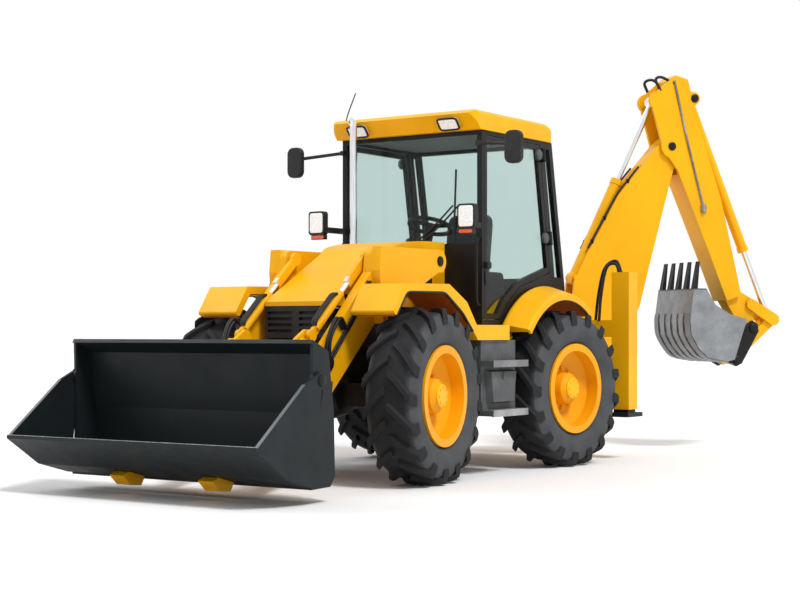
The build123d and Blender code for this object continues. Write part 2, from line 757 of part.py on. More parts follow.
with BuildPart() as steering_column:
    block((820, -180, CAB_FLOOR + FLOOR_T), (CAB_FRONT - 50, 180, 1700))
    column = Plane(origin=(860, 0, 1690), z_dir=(-0.34, 0, 0.94))
    with BuildSketch(column):
        Circle(45)
    extrude(amount=COLUMN_L)
    rim_plane = column.offset(COLUMN_L)
    with BuildSketch(rim_plane):
        Circle(WHEEL_RING_R + 16)
        Circle(WHEEL_RING_R - 16, mode=Mode.SUBTRACT)
        for spoke in range(3):
            with Locations(Rotation(0, 0, 90 + 120 * spoke)):
                with Locations((WHEEL_RING_R / 2, 0)):
                    Rectangle(WHEEL_RING_R, 36)
        Circle(50)
    extrude(amount=28)
save(steering_column.part, "steering_column")

# Fenders
foot = radians(REAR_FENDER[0])
with BuildPart() as rear_fender:
    with BuildSketch(Plane(origin=(0, 0, TYRE_R), x_dir=(0, 1, 0), z_dir=(sin(foot), 0, -cos(foot)))) as section:
        outline([
            (CAB_INNER, FENDER_IN_R),
            (CAB_INNER, FENDER_OUT_R),
            (CAB_OUT + GAP, FENDER_OUT_R),
            (CAB_OUT + GAP, FENDER_CROWN_R),
            (FENDER_OUT_Y, FENDER_EDGE_R),
            (FENDER_OUT_Y, FENDER_IN_R - FENDER_LIP),
            (FENDER_OUT_Y - FENDER_LIP, FENDER_IN_R - FENDER_LIP),
            (FENDER_OUT_Y - FENDER_LIP, FENDER_IN_R),
        ])
        fillet(section.vertices().group_by(Axis.X)[-1].sort_by(Axis.Y)[-1], FENDER_ROUND / 2)
        fillet(section.vertices().sort_by(Axis.Y)[-1], FENDER_ROUND)
    revolve(axis=Axis((0, 0, TYRE_R), (0, -1, 0)), revolution_arc=REAR_FENDER[1] - REAR_FENDER[0])
    with BuildSketch(side_plane(CAB_INNER + 20)):
        with BuildLine():
            wall = CenterArc((0, TYRE_R), FENDER_OUT_R, REAR_FENDER[0], REAR_FENDER[1] - REAR_FENDER[0])
            Polyline(wall @ 0, (wall @ 0 - Vector(0, 60)), (wall @ 1 - Vector(0, 240)), wall @ 1)
        make_face()
    extrude(amount=20)
save(both_sides(rear_fender.part), "rear_fenders")

with BuildPart() as front_fender:
    with BuildSketch(side_plane(FRONT_FENDER_OUT)) as wing:
        outline([
            (2690, 1350), (2535, 1572), (1905, 1580), (1640, 1440), (1490, SILL_TOP), (SILL_BACK, SILL_TOP),
            (SILL_BACK, STEP_TOP), (1470, STEP_TOP), (1540, 1200), (1700, 1352), (1965, 1515), (2500, 1508), (2640, 1320),
        ])
        fillet(wing.vertices().filter_by_position(Axis.Y, SILL_TOP + 1, 1600), FENDER_ROUND / 2)
    extrude(amount=FRONT_FENDER_OUT - FRONT_FENDER_IN)
    with BuildSketch(Plane.XY.offset(STEP_TOP)):
        outline([
            (SILL_BACK - 1, FRONT_FENDER_IN), (CAB_FRONT + GAP, FRONT_FENDER_IN),
            (CAB_FRONT + GAP, CAB_OUT + GAP), (SILL_BACK - 1, CAB_OUT + GAP),
        ])
    extrude(amount=SILL_TOP - STEP_TOP, mode=Mode.SUBTRACT)
    block((1495, TOWER_OUT, 1150), (1535, FRONT_FENDER_IN + 20, 1190))
    block((1440, TOWER_OUT, 1150), (1500, TOWER_OUT + 40, 1190))
save(both_sides(front_fender.part), "front_fenders")

# Steps with the tank box behind them
with BuildPart() as step_box:
    block((STEP_BACK, TOWER_OUT, 520), (STEP_FRONT, 960, STEP_TOP))
    for tread_z in TREAD_ZS:
        block((STEP_BACK, 940, tread_z - 40), (STEP_FRONT, 1080, tread_z))
save(both_sides(step_box.part), "step_boxes")

# Lamps and mirrors
with BuildPart() as front_lamp:
    block((1285, 700, 2060), (1345, 872, 2270))
    fillet(front_lamp.edges().filter_by(Axis.X), LAMP_ROUND)
    block((1290, 705, 2020), (1335, 850, 2061))
    block((CAB_FRONT, 702, 2080), (1290, 737, 2130))
save(both_sides(front_lamp.part), "front_lamps")

with BuildPart() as mirror_unit:
    block((1155, 1070, 2600), (1205, 1232, 2875))
    fillet(mirror_unit.edges().filter_by(Axis.X), MIRROR_ROUND)
    fillet(mirror_unit.faces().sort_by(Axis.X)[-1].edges(), LAMP_ROUND / 2)
    block((CAB_FRONT, 700, 2790), (1060, 735, 2830))
    arm_plane = Plane(origin=(1040, 718, 2810), z_dir=(0.3, 1, -0.1))
    with BuildSketch(arm_plane):
        Circle(15)
    extrude(amount=395)
save(both_sides(mirror_unit.part), "mirrors")

with BuildPart() as roof_lamps:
    visor = Vector(VISOR_TOP[0] - VISOR_LOW[0], 0, VISOR_TOP[1] - VISOR_LOW[1])
    for lamp_y in (-480, 480):
        middle = Vector(VISOR_LOW[0], lamp_y, VISOR_LOW[1]) + visor * 0.5
        with BuildSketch(Plane(origin=middle, x_dir=(0, 1, 0), z_dir=(visor.Z, 0, -visor.X))):
            RectangleRounded(190, 110, LAMP_ROUND)
        extrude(amount=26)
save(roof_lamps.part, "roof_lamps")

# Rear frame with the stabiliser housings
FRAME_REAR = FRAME_BACK - FRAME_D
with BuildPart() as rear_frame:
    inner = COLUMN_OUT - COLUMN_W
    block((FRAME_REAR, -inner, BEAM_TOP_Z), (FRAME_BACK, inner, BEAM_TOP_Z + HOE_BEAM))
    block((FRAME_REAR, -inner, BEAM_LOW_Z), (FRAME_BACK, inner, BEAM_LOW_Z + HOE_BEAM))
    block((FRAME_BACK - 40, -WEB_HALF, BEAM_LOW_Z), (FRAME_BACK, WEB_HALF, BEAM_TOP_Z + HOE_BEAM))
    for side in (-1, 1):
        ends = sorted((side * inner, side * COLUMN_OUT))
        block((FRAME_REAR, ends[0], COLUMN_LOW), (FRAME_BACK, ends[1], COLUMN_TOP))
    for side in (-1, 1):
        middle = side * (COLUMN_OUT - COLUMN_W / 2)
        with Locations((FRAME_BACK - FRAME_D / 2, middle, (COLUMN_LOW + COLUMN_TOP) / 2 - COLUMN_WALL)):
            Box(FRAME_D - 2 * COLUMN_WALL, COLUMN_W - 2 * COLUMN_WALL, COLUMN_TOP - COLUMN_LOW, mode=Mode.SUBTRACT)
save(rear_frame.part, "rear_frame")

for side_name, side in (("left", 1), ("right", -1)):
    with BuildPart() as stabiliser_leg:
        leg_x = FRAME_BACK - FRAME_D / 2
        leg_y = side * (COLUMN_OUT - COLUMN_W / 2)
        bore = 2 * (COLUMN_WALL + LEG_FIT)
        with Locations((leg_x, leg_y, (LEG_FOOT + 40 + LEG_TOP) / 2)):
            Box(FRAME_D - bore, COLUMN_W - bore, LEG_TOP - LEG_FOOT - 40)
        with Locations((leg_x, leg_y, LEG_FOOT + 20)):
            Box(300, 230, 40)
    save(stabiliser_leg.part, "stabiliser_leg_" + side_name)

# Loader arms, one rear plate and one front box each side, with a cross tube
with BuildPart() as loader_arm:
    with BuildSketch(side_plane(ARM_OUT)):
        outline([(1400, 1885), (2255, 1880), (2275, 1690), (2223, 1264), (2110, 1380), (1420, 1697)])
        with Locations(ARM_PIVOT):
            Circle(95)
    extrude(amount=ARM_OUT - ARM_MID)
    with BuildSketch(side_plane(ARM_MID)):
        outline([
            (2110, 1801), (2110, 1380), (2223, 1264), (2787, 732), (3496, 128), (3622, 242), (2872, 1099),
            (2276, 1675), (2260, 1801),
        ])
        with Locations(CROWD_PIN):
            Circle(75)
        with Locations(BUCKET_PIN):
            Circle(85)
    extrude(amount=ARM_MID - ARM_IN)
    with BuildSketch(side_plane(LIFT_Y + LIFT_POCKET)):
        with Locations(LIFT_PIN):
            Circle(LIFT_SWEEP)
        outline([(2130, 1580), (1700, 1580), (1700, 1300), (1900, 900), (2260, 1440)])
    extrude(amount=2 * LIFT_POCKET, mode=Mode.SUBTRACT)
    with BuildSketch(side_plane(ARM_OUT)):
        with Locations(ARM_PIVOT):
            Circle(ARM_PIN_R + RUN)
    extrude(amount=ARM_OUT - ARM_MID, mode=Mode.SUBTRACT)
    with BuildSketch(side_plane(ARM_MID)):
        with Locations(BUCKET_PIN):
            Circle(LOADER_PIN_R + RUN)
    extrude(amount=ARM_MID - ARM_IN, mode=Mode.SUBTRACT)
    with BuildSketch(side_plane(ARM_IN)):
        with Locations(CROWD_PIN):
            Circle(LOADER_PIN_R)
    extrude(amount=ARM_IN - LINK_Y + LINK_HALF)
    with BuildSketch(side_plane(ARM_IN)):
        with Locations(CRANK_PIN):
            Circle(LOADER_PIN_R)
    extrude(amount=ARM_IN - CRANK_IN)
    with BuildSketch(side_plane(ARM_IN)):
        with Locations(CROSS_TUBE):
            Circle(CROSS_TUBE_R)
    extrude(amount=ARM_IN)
loader_arms = both_sides(loader_arm.part)
save(loader_arms, "loader_arms")

lift_plane = side_plane(LIFT_Y)
lift_barrel = ram_barrel(lift_plane, LIFT_BASE, LIFT_PIN, LIFT_R, LIFT_ROD_R, LIFT_BARREL, LIFT_EYE, LOADER_PIN_R)
lift_rod = ram_rod(lift_plane, LIFT_BASE, LIFT_PIN, LIFT_ROD_R, 120, 45, LIFT_EYE)
save(both_sides(lift_barrel), "lift_ram_barrels")
save(both_sides(lift_rod), "lift_ram_rods")

# Crowd rams: the rod hangs on the arm and the tube pushes the bell crank
crowd_plane = side_plane(LINK_Y)
crowd_axis = ram_axis(crowd_plane, CROWD_PIN, CRANK_TOP)
crowd_reach = ram_length(CROWD_PIN, CRANK_TOP)
with BuildPart() as crowd_rod:
    with BuildSketch(crowd_plane):
        with Locations(CROWD_PIN):
            Circle(52)
    extrude(amount=LINK_HALF, both=True)
    with BuildSketch(crowd_axis.offset(30)):
        Rectangle(LINK_HALF * 2, 70)
    extrude(amount=CROWD_EYE_BLOCK - 30)
    with BuildSketch(crowd_axis.offset(CROWD_EYE_BLOCK - 10)):
        Circle(CROWD_ROD_R)
    extrude(amount=CROWD_ROD_END - CROWD_EYE_BLOCK + 10)
    with BuildSketch(crowd_plane):
        with Locations(CROWD_PIN):
            Circle(LOADER_PIN_R + RUN)
    extrude(amount=LINK_HALF, both=True, mode=Mode.SUBTRACT)
with BuildPart() as crowd_barrel:
    with BuildSketch(crowd_axis.offset(crowd_reach - CROWD_BARREL)):
        Circle(CROWD_R)
    extrude(amount=CROWD_BARREL - CROWD_NECK)
    with BuildSketch(crowd_axis.offset(crowd_reach - CROWD_NECK)):
        Rectangle(LINK_HALF * 2, CROWD_R * 1.8)
    extrude(amount=CROWD_NECK)
    with BuildSketch(crowd_plane):
        with Locations(CRANK_TOP):
            Circle(46)
    extrude(amount=LINK_HALF, both=True)
    with BuildSketch(crowd_axis.offset(crowd_reach - CROWD_BARREL)):
        Circle(CROWD_ROD_R + RUN)
    extrude(amount=CROWD_BARREL - CROWD_NECK, mode=Mode.SUBTRACT)
save(both_sides(crowd_rod.part), "crowd_ram_rods")
save(both_sides(crowd_barrel.part), "crowd_ram_barrels")

with BuildPart() as bell_crank:
    with BuildSketch(side_plane(CRANK_OUT)):
        discs_hull((*CRANK_PIN, 62), (*CRANK_TOP, 46), (*CRANK_LOW_PIN, 46))
        with Locations(CRANK_PIN):
            Circle(LOADER_PIN_R + RUN, mode=Mode.SUBTRACT)
    extrude(amount=CRANK_OUT - CRANK_IN)
    with BuildSketch(side_plane(ARM_IN - GAP)):
        with Locations(CRANK_PIN):
            Circle(50)
            Circle(LOADER_PIN_R + RUN, mode=Mode.SUBTRACT)
    extrude(amount=ARM_IN - GAP - CRANK_OUT)
    with BuildSketch(side_plane(LINK_Y + LINK_HALF)):
        with Locations(CRANK_LOW_PIN):
            Circle(20)
    extrude(amount=LINK_Y + LINK_HALF - CRANK_OUT)
save(both_sides(bell_crank.part), "bell_cranks")

with BuildPart() as tipping_link:
    with BuildSketch(crowd_plane):
        discs_hull((*CRANK_LOW_PIN, 40), (*BUCKET_TOP_PIN, 38))
        with Locations(CRANK_LOW_PIN):
            Circle(20 + RUN, mode=Mode.SUBTRACT)
    extrude(amount=LINK_HALF, both=True)
save(both_sides(tipping_link.part), "tipping_links")

# Loader bucket: the back with its end plates, and the clam that closes it
with BuildPart() as bucket_back:
    with BuildSketch(side_plane(BUCKET_HALF - CLAM_WALL)):
        outline([
            (3916, 1143), (3735, 1061), (3672, 640), (3660, 180), (3715, 112), (3930, 106), (3930, 132),
            (3735, 138), (3690, 200), (3700, 620), (3760, 1040), (3930, 1116),
        ])
    extrude(amount=2 * (BUCKET_HALF - CLAM_WALL))
    for side in (-1, 1):
        plate_y = BUCKET_HALF - CLAM_WALL if side > 0 else -(BUCKET_HALF - CLAM_WALL) + END_PLATE
        with BuildSketch(side_plane(plate_y)):
            outline([(3916, 1143), (3735, 1061), (3672, 640), (3660, 180), (3715, 112), (3930, 106), (3905, 500)])
            with Locations(CLAM_PIN):
                Circle(70)
        extrude(amount=END_PLATE)
        pin_y = BUCKET_HALF if side > 0 else -(BUCKET_HALF - CLAM_WALL)
        with BuildSketch(side_plane(pin_y)):
            with Locations(CLAM_PIN):
                Circle(24)
        extrude(amount=CLAM_WALL)
    for side in (-1, 1):
        for lug_in, lug_out in ((ARM_MID + GAP, ARM_MID + GAP + 22), (ARM_IN - GAP - 12, ARM_IN - GAP)):
            lug_y = lug_out if side > 0 else -lug_in
            with BuildSketch(side_plane(lug_y)):
                discs_hull((*BUCKET_PIN, 62), (3670, 250, 20), (3690, 140, 20))
            extrude(amount=lug_out - lug_in)
        pin_y = ARM_MID + GAP + 22 if side > 0 else -(ARM_IN - GAP - 12)
        with BuildSketch(side_plane(pin_y)):
            with Locations(BUCKET_PIN):
                Circle(LOADER_PIN_R)
        extrude(amount=ARM_MID - ARM_IN + 2 * GAP + 34)
        top_in = LINK_Y + LINK_HALF + GAP
        top_y = top_in + 12 if side > 0 else -top_in
        with BuildSketch(side_plane(top_y)):
            discs_hull((*BUCKET_TOP_PIN, 45), (3680, 460, 15), (3680, 280, 15))
        extrude(amount=12)
save(bucket_back.part, "bucket_back")

with BuildPart() as bucket_clam:
    with BuildSketch(side_plane(BUCKET_HALF)):
        outline([(3948, 122), (4250, 205), (4558, 412), (4558, 436), (4240, 232), (3948, 150)])
    extrude(amount=2 * BUCKET_HALF)
    for side in (-1, 1):
        plate_y = BUCKET_HALF if side > 0 else -BUCKET_HALF + CLAM_WALL - GAP
        with BuildSketch(side_plane(plate_y)):
            outline([(3948, 130), (4250, 215), (4552, 425), (4030, 840), (3853, 920), (3790, 860), (3853, 800)])
            with Locations(CLAM_PIN):
                Circle(62)
                Circle(24 + RUN, mode=Mode.SUBTRACT)
        extrude(amount=CLAM_WALL - GAP)
save(bucket_clam.part, "bucket_clam")

# Backhoe: sideshift carriage and kingpost
with BuildPart() as hoe_carriage:
    face = FRAME_REAR - CARRIAGE_FIT
    block((face - CARRIAGE_T, -CARRIAGE_HALF, 430), (face, CARRIAGE_HALF, 1390))
    block((face - 10, -CARRIAGE_HALF, BEAM_TOP_Z + HOE_BEAM + CARRIAGE_FIT), (FRAME_REAR + 60, CARRIAGE_HALF, 1390))
    block((face - 10, -CARRIAGE_HALF, 430), (FRAME_REAR + 60, CARRIAGE_HALF, BEAM_LOW_Z - CARRIAGE_FIT))
    for level in (KING_LOW - SLEW_LUG, KING_TOP):
        with BuildSketch(Plane.XY.offset(level)):
            discs_hull((SLEW_X, 0, SLEW_R), (face - 30, 220, 30), (face - 30, -220, 30))
        extrude(amount=SLEW_LUG)
        with BuildSketch(Plane.XY.offset(level)):
            with Locations((SLEW_X, 0)):
                Circle(SLEW_PIN_R + RUN)
        extrude(amount=SLEW_LUG, mode=Mode.SUBTRACT)
save(hoe_carriage.part, "hoe_carriage")


with BuildPart() as kingpost:
    with BuildSketch(Plane.XY.offset(KING_LOW + RUN)):
        with Locations((SLEW_X, 0)):
            Circle(SLEW_R)
    extrude(amount=KING_TOP - KING_LOW - 2 * RUN)
    with BuildSketch(Plane.XY.offset(KING_LOW - SLEW_LUG)):
        with Locations((SLEW_X, 0)):
            Circle(SLEW_PIN_R)
    extrude(amount=KING_TOP - KING_LOW + 2 * SLEW_LUG)
    outer = ((0, 900, 75), (*BOOM_FOOT, 90))
    for side in (-1, 1):
        with BuildSketch(hoe_plane(BOOM_HALF + GAP if side > 0 else -BOOM_HALF - GAP - KING_LUG)):
            discs_hull(*outer)
        extrude(amount=KING_LUG)
    with BuildSketch(hoe_plane(-BOOM_HALF - GAP - KING_LUG)):
        discs_hull((0, 760, 75), (0, 1040, 75), (20, 900, 75))
    extrude(amount=2 * (BOOM_HALF + GAP + KING_LUG))
    inner = ((0, 1030, 80), (40, 900, 80), (*BOOM_RAM_BASE, 58))
    for side in (-1, 1):
        with BuildSketch(hoe_plane(RAM_LUG_IN if side > 0 else -RAM_LUG_OUT)):
            discs_hull(*inner)
        extrude(amount=RAM_LUG_OUT - RAM_LUG_IN)
    for side in (-1, 1):
        with BuildSketch(hoe_plane(FORK_IN if side > 0 else -BOOM_HALF - GAP - KING_LUG)):
            with Locations(BOOM_FOOT):
                Circle(HOE_PIN_R)
        extrude(amount=BOOM_HALF + GAP + KING_LUG - FORK_IN)
    with BuildSketch(hoe_plane()):
        with Locations(BOOM_RAM_BASE):
            Circle(HOE_PIN_R)
    extrude(amount=RAM_LUG_OUT, both=True)
save(kingpost.part, "kingpost")

# Boom: a forked lower half round its rams, and a box above
with BuildPart() as boom:
    with BuildSketch(hoe_plane()):
        outline([
            (222, 930), (290, 1700), (429, 1971), (787, 2587), (1290, 3160), (1440, 3185), (1480, 3060),
            (1377, 2741), (1130, 1850), (1024, 1452), (760, 1050), (400, 812),
        ])
        with Locations(BOOM_FOOT):
            Circle(110)
        with Locations(DIPPER_PIN):
            Circle(108)
    extrude(amount=BOOM_HALF, both=True)
    with BuildSketch(hoe_plane()):
        outline([(0, 700), (0, 2100), (1300, 2100), (1300, 700)])
        outline([(200, 1600), (200, 2000), (900, 3100), (1160, 3100), (640, 2000), (500, 1600)])
    extrude(amount=FORK_IN, both=True, mode=Mode.SUBTRACT)
    with BuildSketch(hoe_plane()):
        with Locations(BOOM_FOOT):
            Circle(HOE_PIN_R + RUN)
    extrude(amount=BOOM_HALF, both=True, mode=Mode.SUBTRACT)
    with BuildSketch(hoe_plane()):
        with Locations(DIPPER_RAM_BASE):
            Circle(HOE_PIN_R)
    extrude(amount=BOOM_HALF, both=True)
    with BuildSketch(hoe_plane()):
        with Locations(DIPPER_PIN):
            Circle(HOE_PIN_R)
    extrude(amount=DIPPER_HALF, both=True)
save(boom.part, "boom")

hoe_mid = hoe_plane()
save(ram_barrel(hoe_mid, BOOM_RAM_BASE, BOOM_RAM_EYE, 46, 28, 600, 46, HOE_PIN_R), "boom_ram_barrel")
save(ram_rod(hoe_mid, BOOM_RAM_BASE, BOOM_RAM_EYE, 28, 130, 55, 40), "boom_ram_rod")
save(ram_barrel(hoe_mid, DIPPER_RAM_BASE, DIPPER_RAM_EYE, 55, 32, 1120, 55, HOE_PIN_R), "dipper_ram_barrel")
save(ram_rod(hoe_mid, DIPPER_RAM_BASE, DIPPER_RAM_EYE, 32, 850, 62, 45), "dipper_ram_rod")
save(ram_barrel(hoe_mid, BUCKET_RAM_BASE, LEVER_END, 52, 32, 1690, 52, HOE_PIN_R), "bucket_ram_barrel")
save(ram_rod(hoe_mid, BUCKET_RAM_BASE, LEVER_END, 32, 1000, 55, 38), "bucket_ram_rod")

# Dipper: forked head round the boom's end, box below, and a narrow nose
with BuildPart() as dipper:
    with BuildSketch(hoe_plane()):
        outline([
            (1130, 3590), (1416, 3826), (1560, 3790), (1690, 3320), (1950, 2570), (2190, 1580), (2020, 1523),
            (1800, 2041), (1530, 2655), (1440, 2860), (1280, 3060),
        ])
        with Locations(DIPPER_PIN):
            Circle(120)
        with Locations(DIPPER_RAM_EYE):
            Circle(95)
    extrude(amount=DIPPER_HALF, both=True)
    with BuildSketch(hoe_plane()):
        outline([
            (1000, 2800), (1000, 3950), (1330, 3950), (1385, 3285), (1540, 3125), (1540, 2930), (1450, 2800),
        ])
        with Locations(DIPPER_PIN):
            Circle(135)
    extrude(amount=BOOM_HALF + GAP, both=True, mode=Mode.SUBTRACT)
    with BuildSketch(hoe_plane()):
        with Locations(DIPPER_PIN):
            Circle(HOE_PIN_R + RUN)
    extrude(amount=DIPPER_HALF, both=True, mode=Mode.SUBTRACT)
    with BuildSketch(hoe_plane()):
        discs_hull((*LEVER_PIN, 60), (*DIG_PIN, 62), (2120, 1600, 60), (2060, 1560, 40))
    extrude(amount=NOSE_W, both=True)
    for side in (-1, 1):
        with BuildSketch(hoe_plane(BUCKET_LUG_IN if side > 0 else -DIPPER_HALF)):
            discs_hull((*BUCKET_RAM_BASE, 62), (1500, 3640, 40), (1540, 3480, 40))
        extrude(amount=DIPPER_HALF - BUCKET_LUG_IN)
    with BuildSketch(hoe_plane()):
        discs_hull((*BUCKET_RAM_BASE, BUCKET_RAM_POCKET), (1770, 3300, 90))
    extrude(amount=BUCKET_LUG_IN, both=True, mode=Mode.SUBTRACT)
    with BuildSketch(hoe_plane()):
        with Locations(BUCKET_RAM_BASE):
            Circle(HOE_PIN_R)
    extrude(amount=DIPPER_HALF, both=True)
    for place in (LEVER_PIN, DIG_PIN):
        with BuildSketch(hoe_plane()):
            with Locations(place):
                Circle(LEVER_PIN_R + RUN)
        extrude(amount=NOSE_W, both=True, mode=Mode.SUBTRACT)
save(dipper.part, "dipper")

with BuildPart() as tipping_lever:
    for side in (-1, 1):
        with BuildSketch(hoe_plane(NOSE_W + GAP if side > 0 else -NOSE_W - GAP - 30)):
            discs_hull((*LEVER_PIN, 55), (*LEVER_END, 62))
        extrude(amount=30)
    with BuildSketch(hoe_plane()):
        with Locations(LEVER_PIN):
            Circle(LEVER_PIN_R)
    extrude(amount=NOSE_W + GAP + 30, both=True)
    for side in (-1, 1):
        with BuildSketch(hoe_plane(DIG_LINK_IN if side > 0 else -NOSE_W - GAP)):
            with Locations(LEVER_END):
                Circle(LEVER_PIN_R)
        extrude(amount=NOSE_W + GAP - DIG_LINK_IN)
save(tipping_lever.part, "tipping_lever")

with BuildPart() as dig_link:
    for side in (-1, 1):
        with BuildSketch(hoe_plane(DIG_LINK_IN if side > 0 else -NOSE_W)):
            discs_hull((*LEVER_END, 52), (*DIG_LINK_PIN, 45))
            with Locations(LEVER_END):
                Circle(LEVER_PIN_R + RUN, mode=Mode.SUBTRACT)
        extrude(amount=NOSE_W - DIG_LINK_IN)
    with BuildSketch(hoe_plane()):
        with Locations(DIG_LINK_PIN):
            Circle(44)
    extrude(amount=NOSE_W, both=True)
save(dig_link.part, "dig_link")

with BuildPart() as dig_bucket:
    with BuildSketch(hoe_plane()):
        outline([
            (1500, 1640), (1454, 1315), (1471, 1170), (1558, 1029), (1660, 940), (1887, 898), (1970, 915),
            (2115, 1330), (2090, 1335), (1950, 938), (1887, 922), (1672, 962), (1578, 1044), (1494, 1178),
            (1478, 1315), (1524, 1640),
        ])
    extrude(amount=DIG_HALF, both=True)
    for side in (-1, 1):
        with BuildSketch(hoe_plane(DIG_HALF - 18 if side > 0 else -DIG_HALF)):
            outline([
                (1500, 1640), (1454, 1315), (1471, 1170), (1558, 1029), (1660, 940), (1887, 898), (1970, 915),
                (2115, 1330), (1925, 1377), (1747, 1475), (1640, 1640),
            ])
        extrude(amount=18)
    for side in (-1, 1):
        with BuildSketch(hoe_plane(NOSE_W + GAP if side > 0 else -NOSE_W - GAP - 30)):
            discs_hull((*DIG_PIN, 58), (*DIG_LINK_PIN, 50), (2080, 1270, 10), (1970, 940, 10))
        extrude(amount=30)
    with BuildSketch(hoe_plane()):
        with Locations(DIG_PIN):
            Circle(LEVER_PIN_R)
    extrude(amount=NOSE_W + GAP + 30, both=True)
    for tooth in range(5):
        middle = (tooth - 2) * (DIG_HALF * 2 - 90) / 4
        with BuildSketch(hoe_plane(middle)):
            outline([(1496, 1600), (1560, 1915), (1572, 1915), (1545, 1600)])
        extrude(amount=32, both=True)
save(dig_bucket.part, "dig_bucket")
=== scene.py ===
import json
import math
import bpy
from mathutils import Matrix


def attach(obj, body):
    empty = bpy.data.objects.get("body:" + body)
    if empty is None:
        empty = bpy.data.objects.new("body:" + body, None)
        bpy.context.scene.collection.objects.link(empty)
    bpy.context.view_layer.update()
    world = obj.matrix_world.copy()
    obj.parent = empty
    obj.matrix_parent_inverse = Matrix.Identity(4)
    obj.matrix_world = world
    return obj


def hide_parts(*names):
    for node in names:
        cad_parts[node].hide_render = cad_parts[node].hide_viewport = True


bl_info = {
    "name": "Backhoe loader dressing",
    "version": (1, 0, 0),
    "blender": (4, 5, 0),
    "location": "View3D > Sidebar > Loader",
    "description": "Paint, rubber, glass and small fittings for a packed backhoe loader",
    "category": "Object",
}

import bmesh
import bpy
import numpy as np
from bpy.props import FloatProperty, FloatVectorProperty, IntProperty, PointerProperty

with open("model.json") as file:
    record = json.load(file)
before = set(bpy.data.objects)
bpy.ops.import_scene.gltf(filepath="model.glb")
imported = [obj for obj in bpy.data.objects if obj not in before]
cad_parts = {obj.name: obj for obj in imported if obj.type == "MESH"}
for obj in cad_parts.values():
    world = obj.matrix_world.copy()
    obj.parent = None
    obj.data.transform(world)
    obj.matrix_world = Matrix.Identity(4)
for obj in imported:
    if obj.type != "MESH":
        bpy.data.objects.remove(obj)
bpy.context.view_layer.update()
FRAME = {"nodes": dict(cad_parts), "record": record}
NODES = FRAME["nodes"]

# Places taken over from the part's own named values, in metres
WHEELBASE = 2.220
KINGPIN_Y = 0.760
TRACK_IN = 0.180        # middle of a tyre, measured out from its kingpin
AXLE_Z = 0.695
STEER = {"front": math.radians(8.0), "rear": math.radians(-6.0)}
SLEW_X = -1.360
SLEW = math.radians(36.0)

# Places read off the finished pieces, in metres
ROD_PAINT_END = 2.42    # x where a crowd rod's painted eye block ends
TOOTH_ROOT_Z = 1.63     # height at rest above which the digging bucket is its teeth
FENDER_R = 0.789        # edging of a rear fender, from the axle
SHADE_SHEET_R = 0.812         # painted-shade sheet under a rear fender, from the axle
DIG_PIN = np.array([2.300, 1.241])         # digging bucket's pins, (outward, height) in the boom's plane
DIG_LINK_PIN = np.array([2.110, 0.905])
CROWD_PIN = np.array([2.185, 0, 1.801])    # upper and lower end of a crowd ram
CROWD_EYE = np.array([2.895, 0, 1.170])

# Camera fitted to the photograph: place in metres, heading in degrees, shifts in pixels
CAMERA_AT = (12.700, 7.944, 1.190)
CAMERA_HEADING = -145.91
CAMERA_SHIFT = (-13.5, 32.8)
PHOTO_WIDTH = 800

# Directions and sides
HOE_OUT = np.array([-math.cos(SLEW), math.sin(SLEW), 0.0])
HOE_LEFT = np.array([math.sin(SLEW), math.cos(SLEW), 0.0])
UP = np.array([0, 0, 1.0])
LEFTWARD = (0, 1, 0)
ENDS = ("front", "rear")
SIDES = (("left", 1), ("right", -1))

PLATING = (0.82, 0.83, 0.85)
FINISHES = {}           # filled by the paint operator


# Numbers and meshes

def unit(v):
    """Vectors scaled to length one along the last axis."""
    v = np.asarray(v, float)
    return v / np.linalg.norm(v, axis=-1, keepdims=True)


def grid_faces(rows, cols, wrap_rows=False, wrap_cols=False):
    """Quads over a rows by cols grid of vertex numbers, joined round where a direction wraps."""
    ids = np.arange(rows * cols).reshape(rows, cols)
    if wrap_rows:
        ids = np.vstack([ids, ids[:1]])
    if wrap_cols:
        ids = np.hstack([ids, ids[:, :1]])
    quads = np.stack([ids[:-1, :-1], ids[:-1, 1:], ids[1:, 1:], ids[1:, :-1]], -1)
    return quads.reshape(-1, 4).tolist()


def capped_faces(rows, cols):
    """Quads of a run of rings, with one face closing each end."""
    ends = [list(range(cols))[::-1], list(range((rows - 1) * cols, rows * cols))]
    return grid_faces(rows, cols, wrap_cols=True) + ends


def rounded(x, power):
    """The size of x raised to a power, with x's own sign."""
    return np.sign(x) * np.abs(x) ** power


def curve_through(points, count=40):
    """A smooth line through points: Catmull-Rom cubics, each blended from its four nearest points."""
    p = np.asarray(points, float)
    p = np.vstack([2 * p[0] - p[1], p, 2 * p[-1] - p[-2]])
    t = np.linspace(0, len(p) - 3 - 1e-9, count)
    i = t.astype(int)
    f = (t - i)[:, None]
    a, b, c, d = p[i], p[i + 1], p[i + 2], p[i + 3]
    return 0.5 * (2 * b + (c - a) * f + (2 * a - 5 * b + 4 * c - d) * f**2 + (3 * b - a - 3 * c + d) * f**3)


def tube(path, radius, sides=10):
    """A round profile carried along a path: path + radius * (cos t * normal + sin t * binormal), ends closed."""
    path = np.asarray(path, float)
    along = unit(np.gradient(path, axis=0))
    spread = np.ptp(path, axis=0)
    ref = np.eye(3)[int(np.argmin(spread))]
    normal = unit(np.cross(along, ref))
    binormal = np.cross(along, normal)
    t = np.linspace(0, 2 * np.pi, sides, endpoint=False)
    r = np.broadcast_to(np.asarray(radius, float).reshape(-1, 1, 1), (len(path), 1, 1))
    ring = np.cos(t)[None, :, None] * normal[:, None] + np.sin(t)[None, :, None] * binormal[:, None]
    return (path[:, None] + r * ring).reshape(-1, 3), capped_faces(len(path), sides)


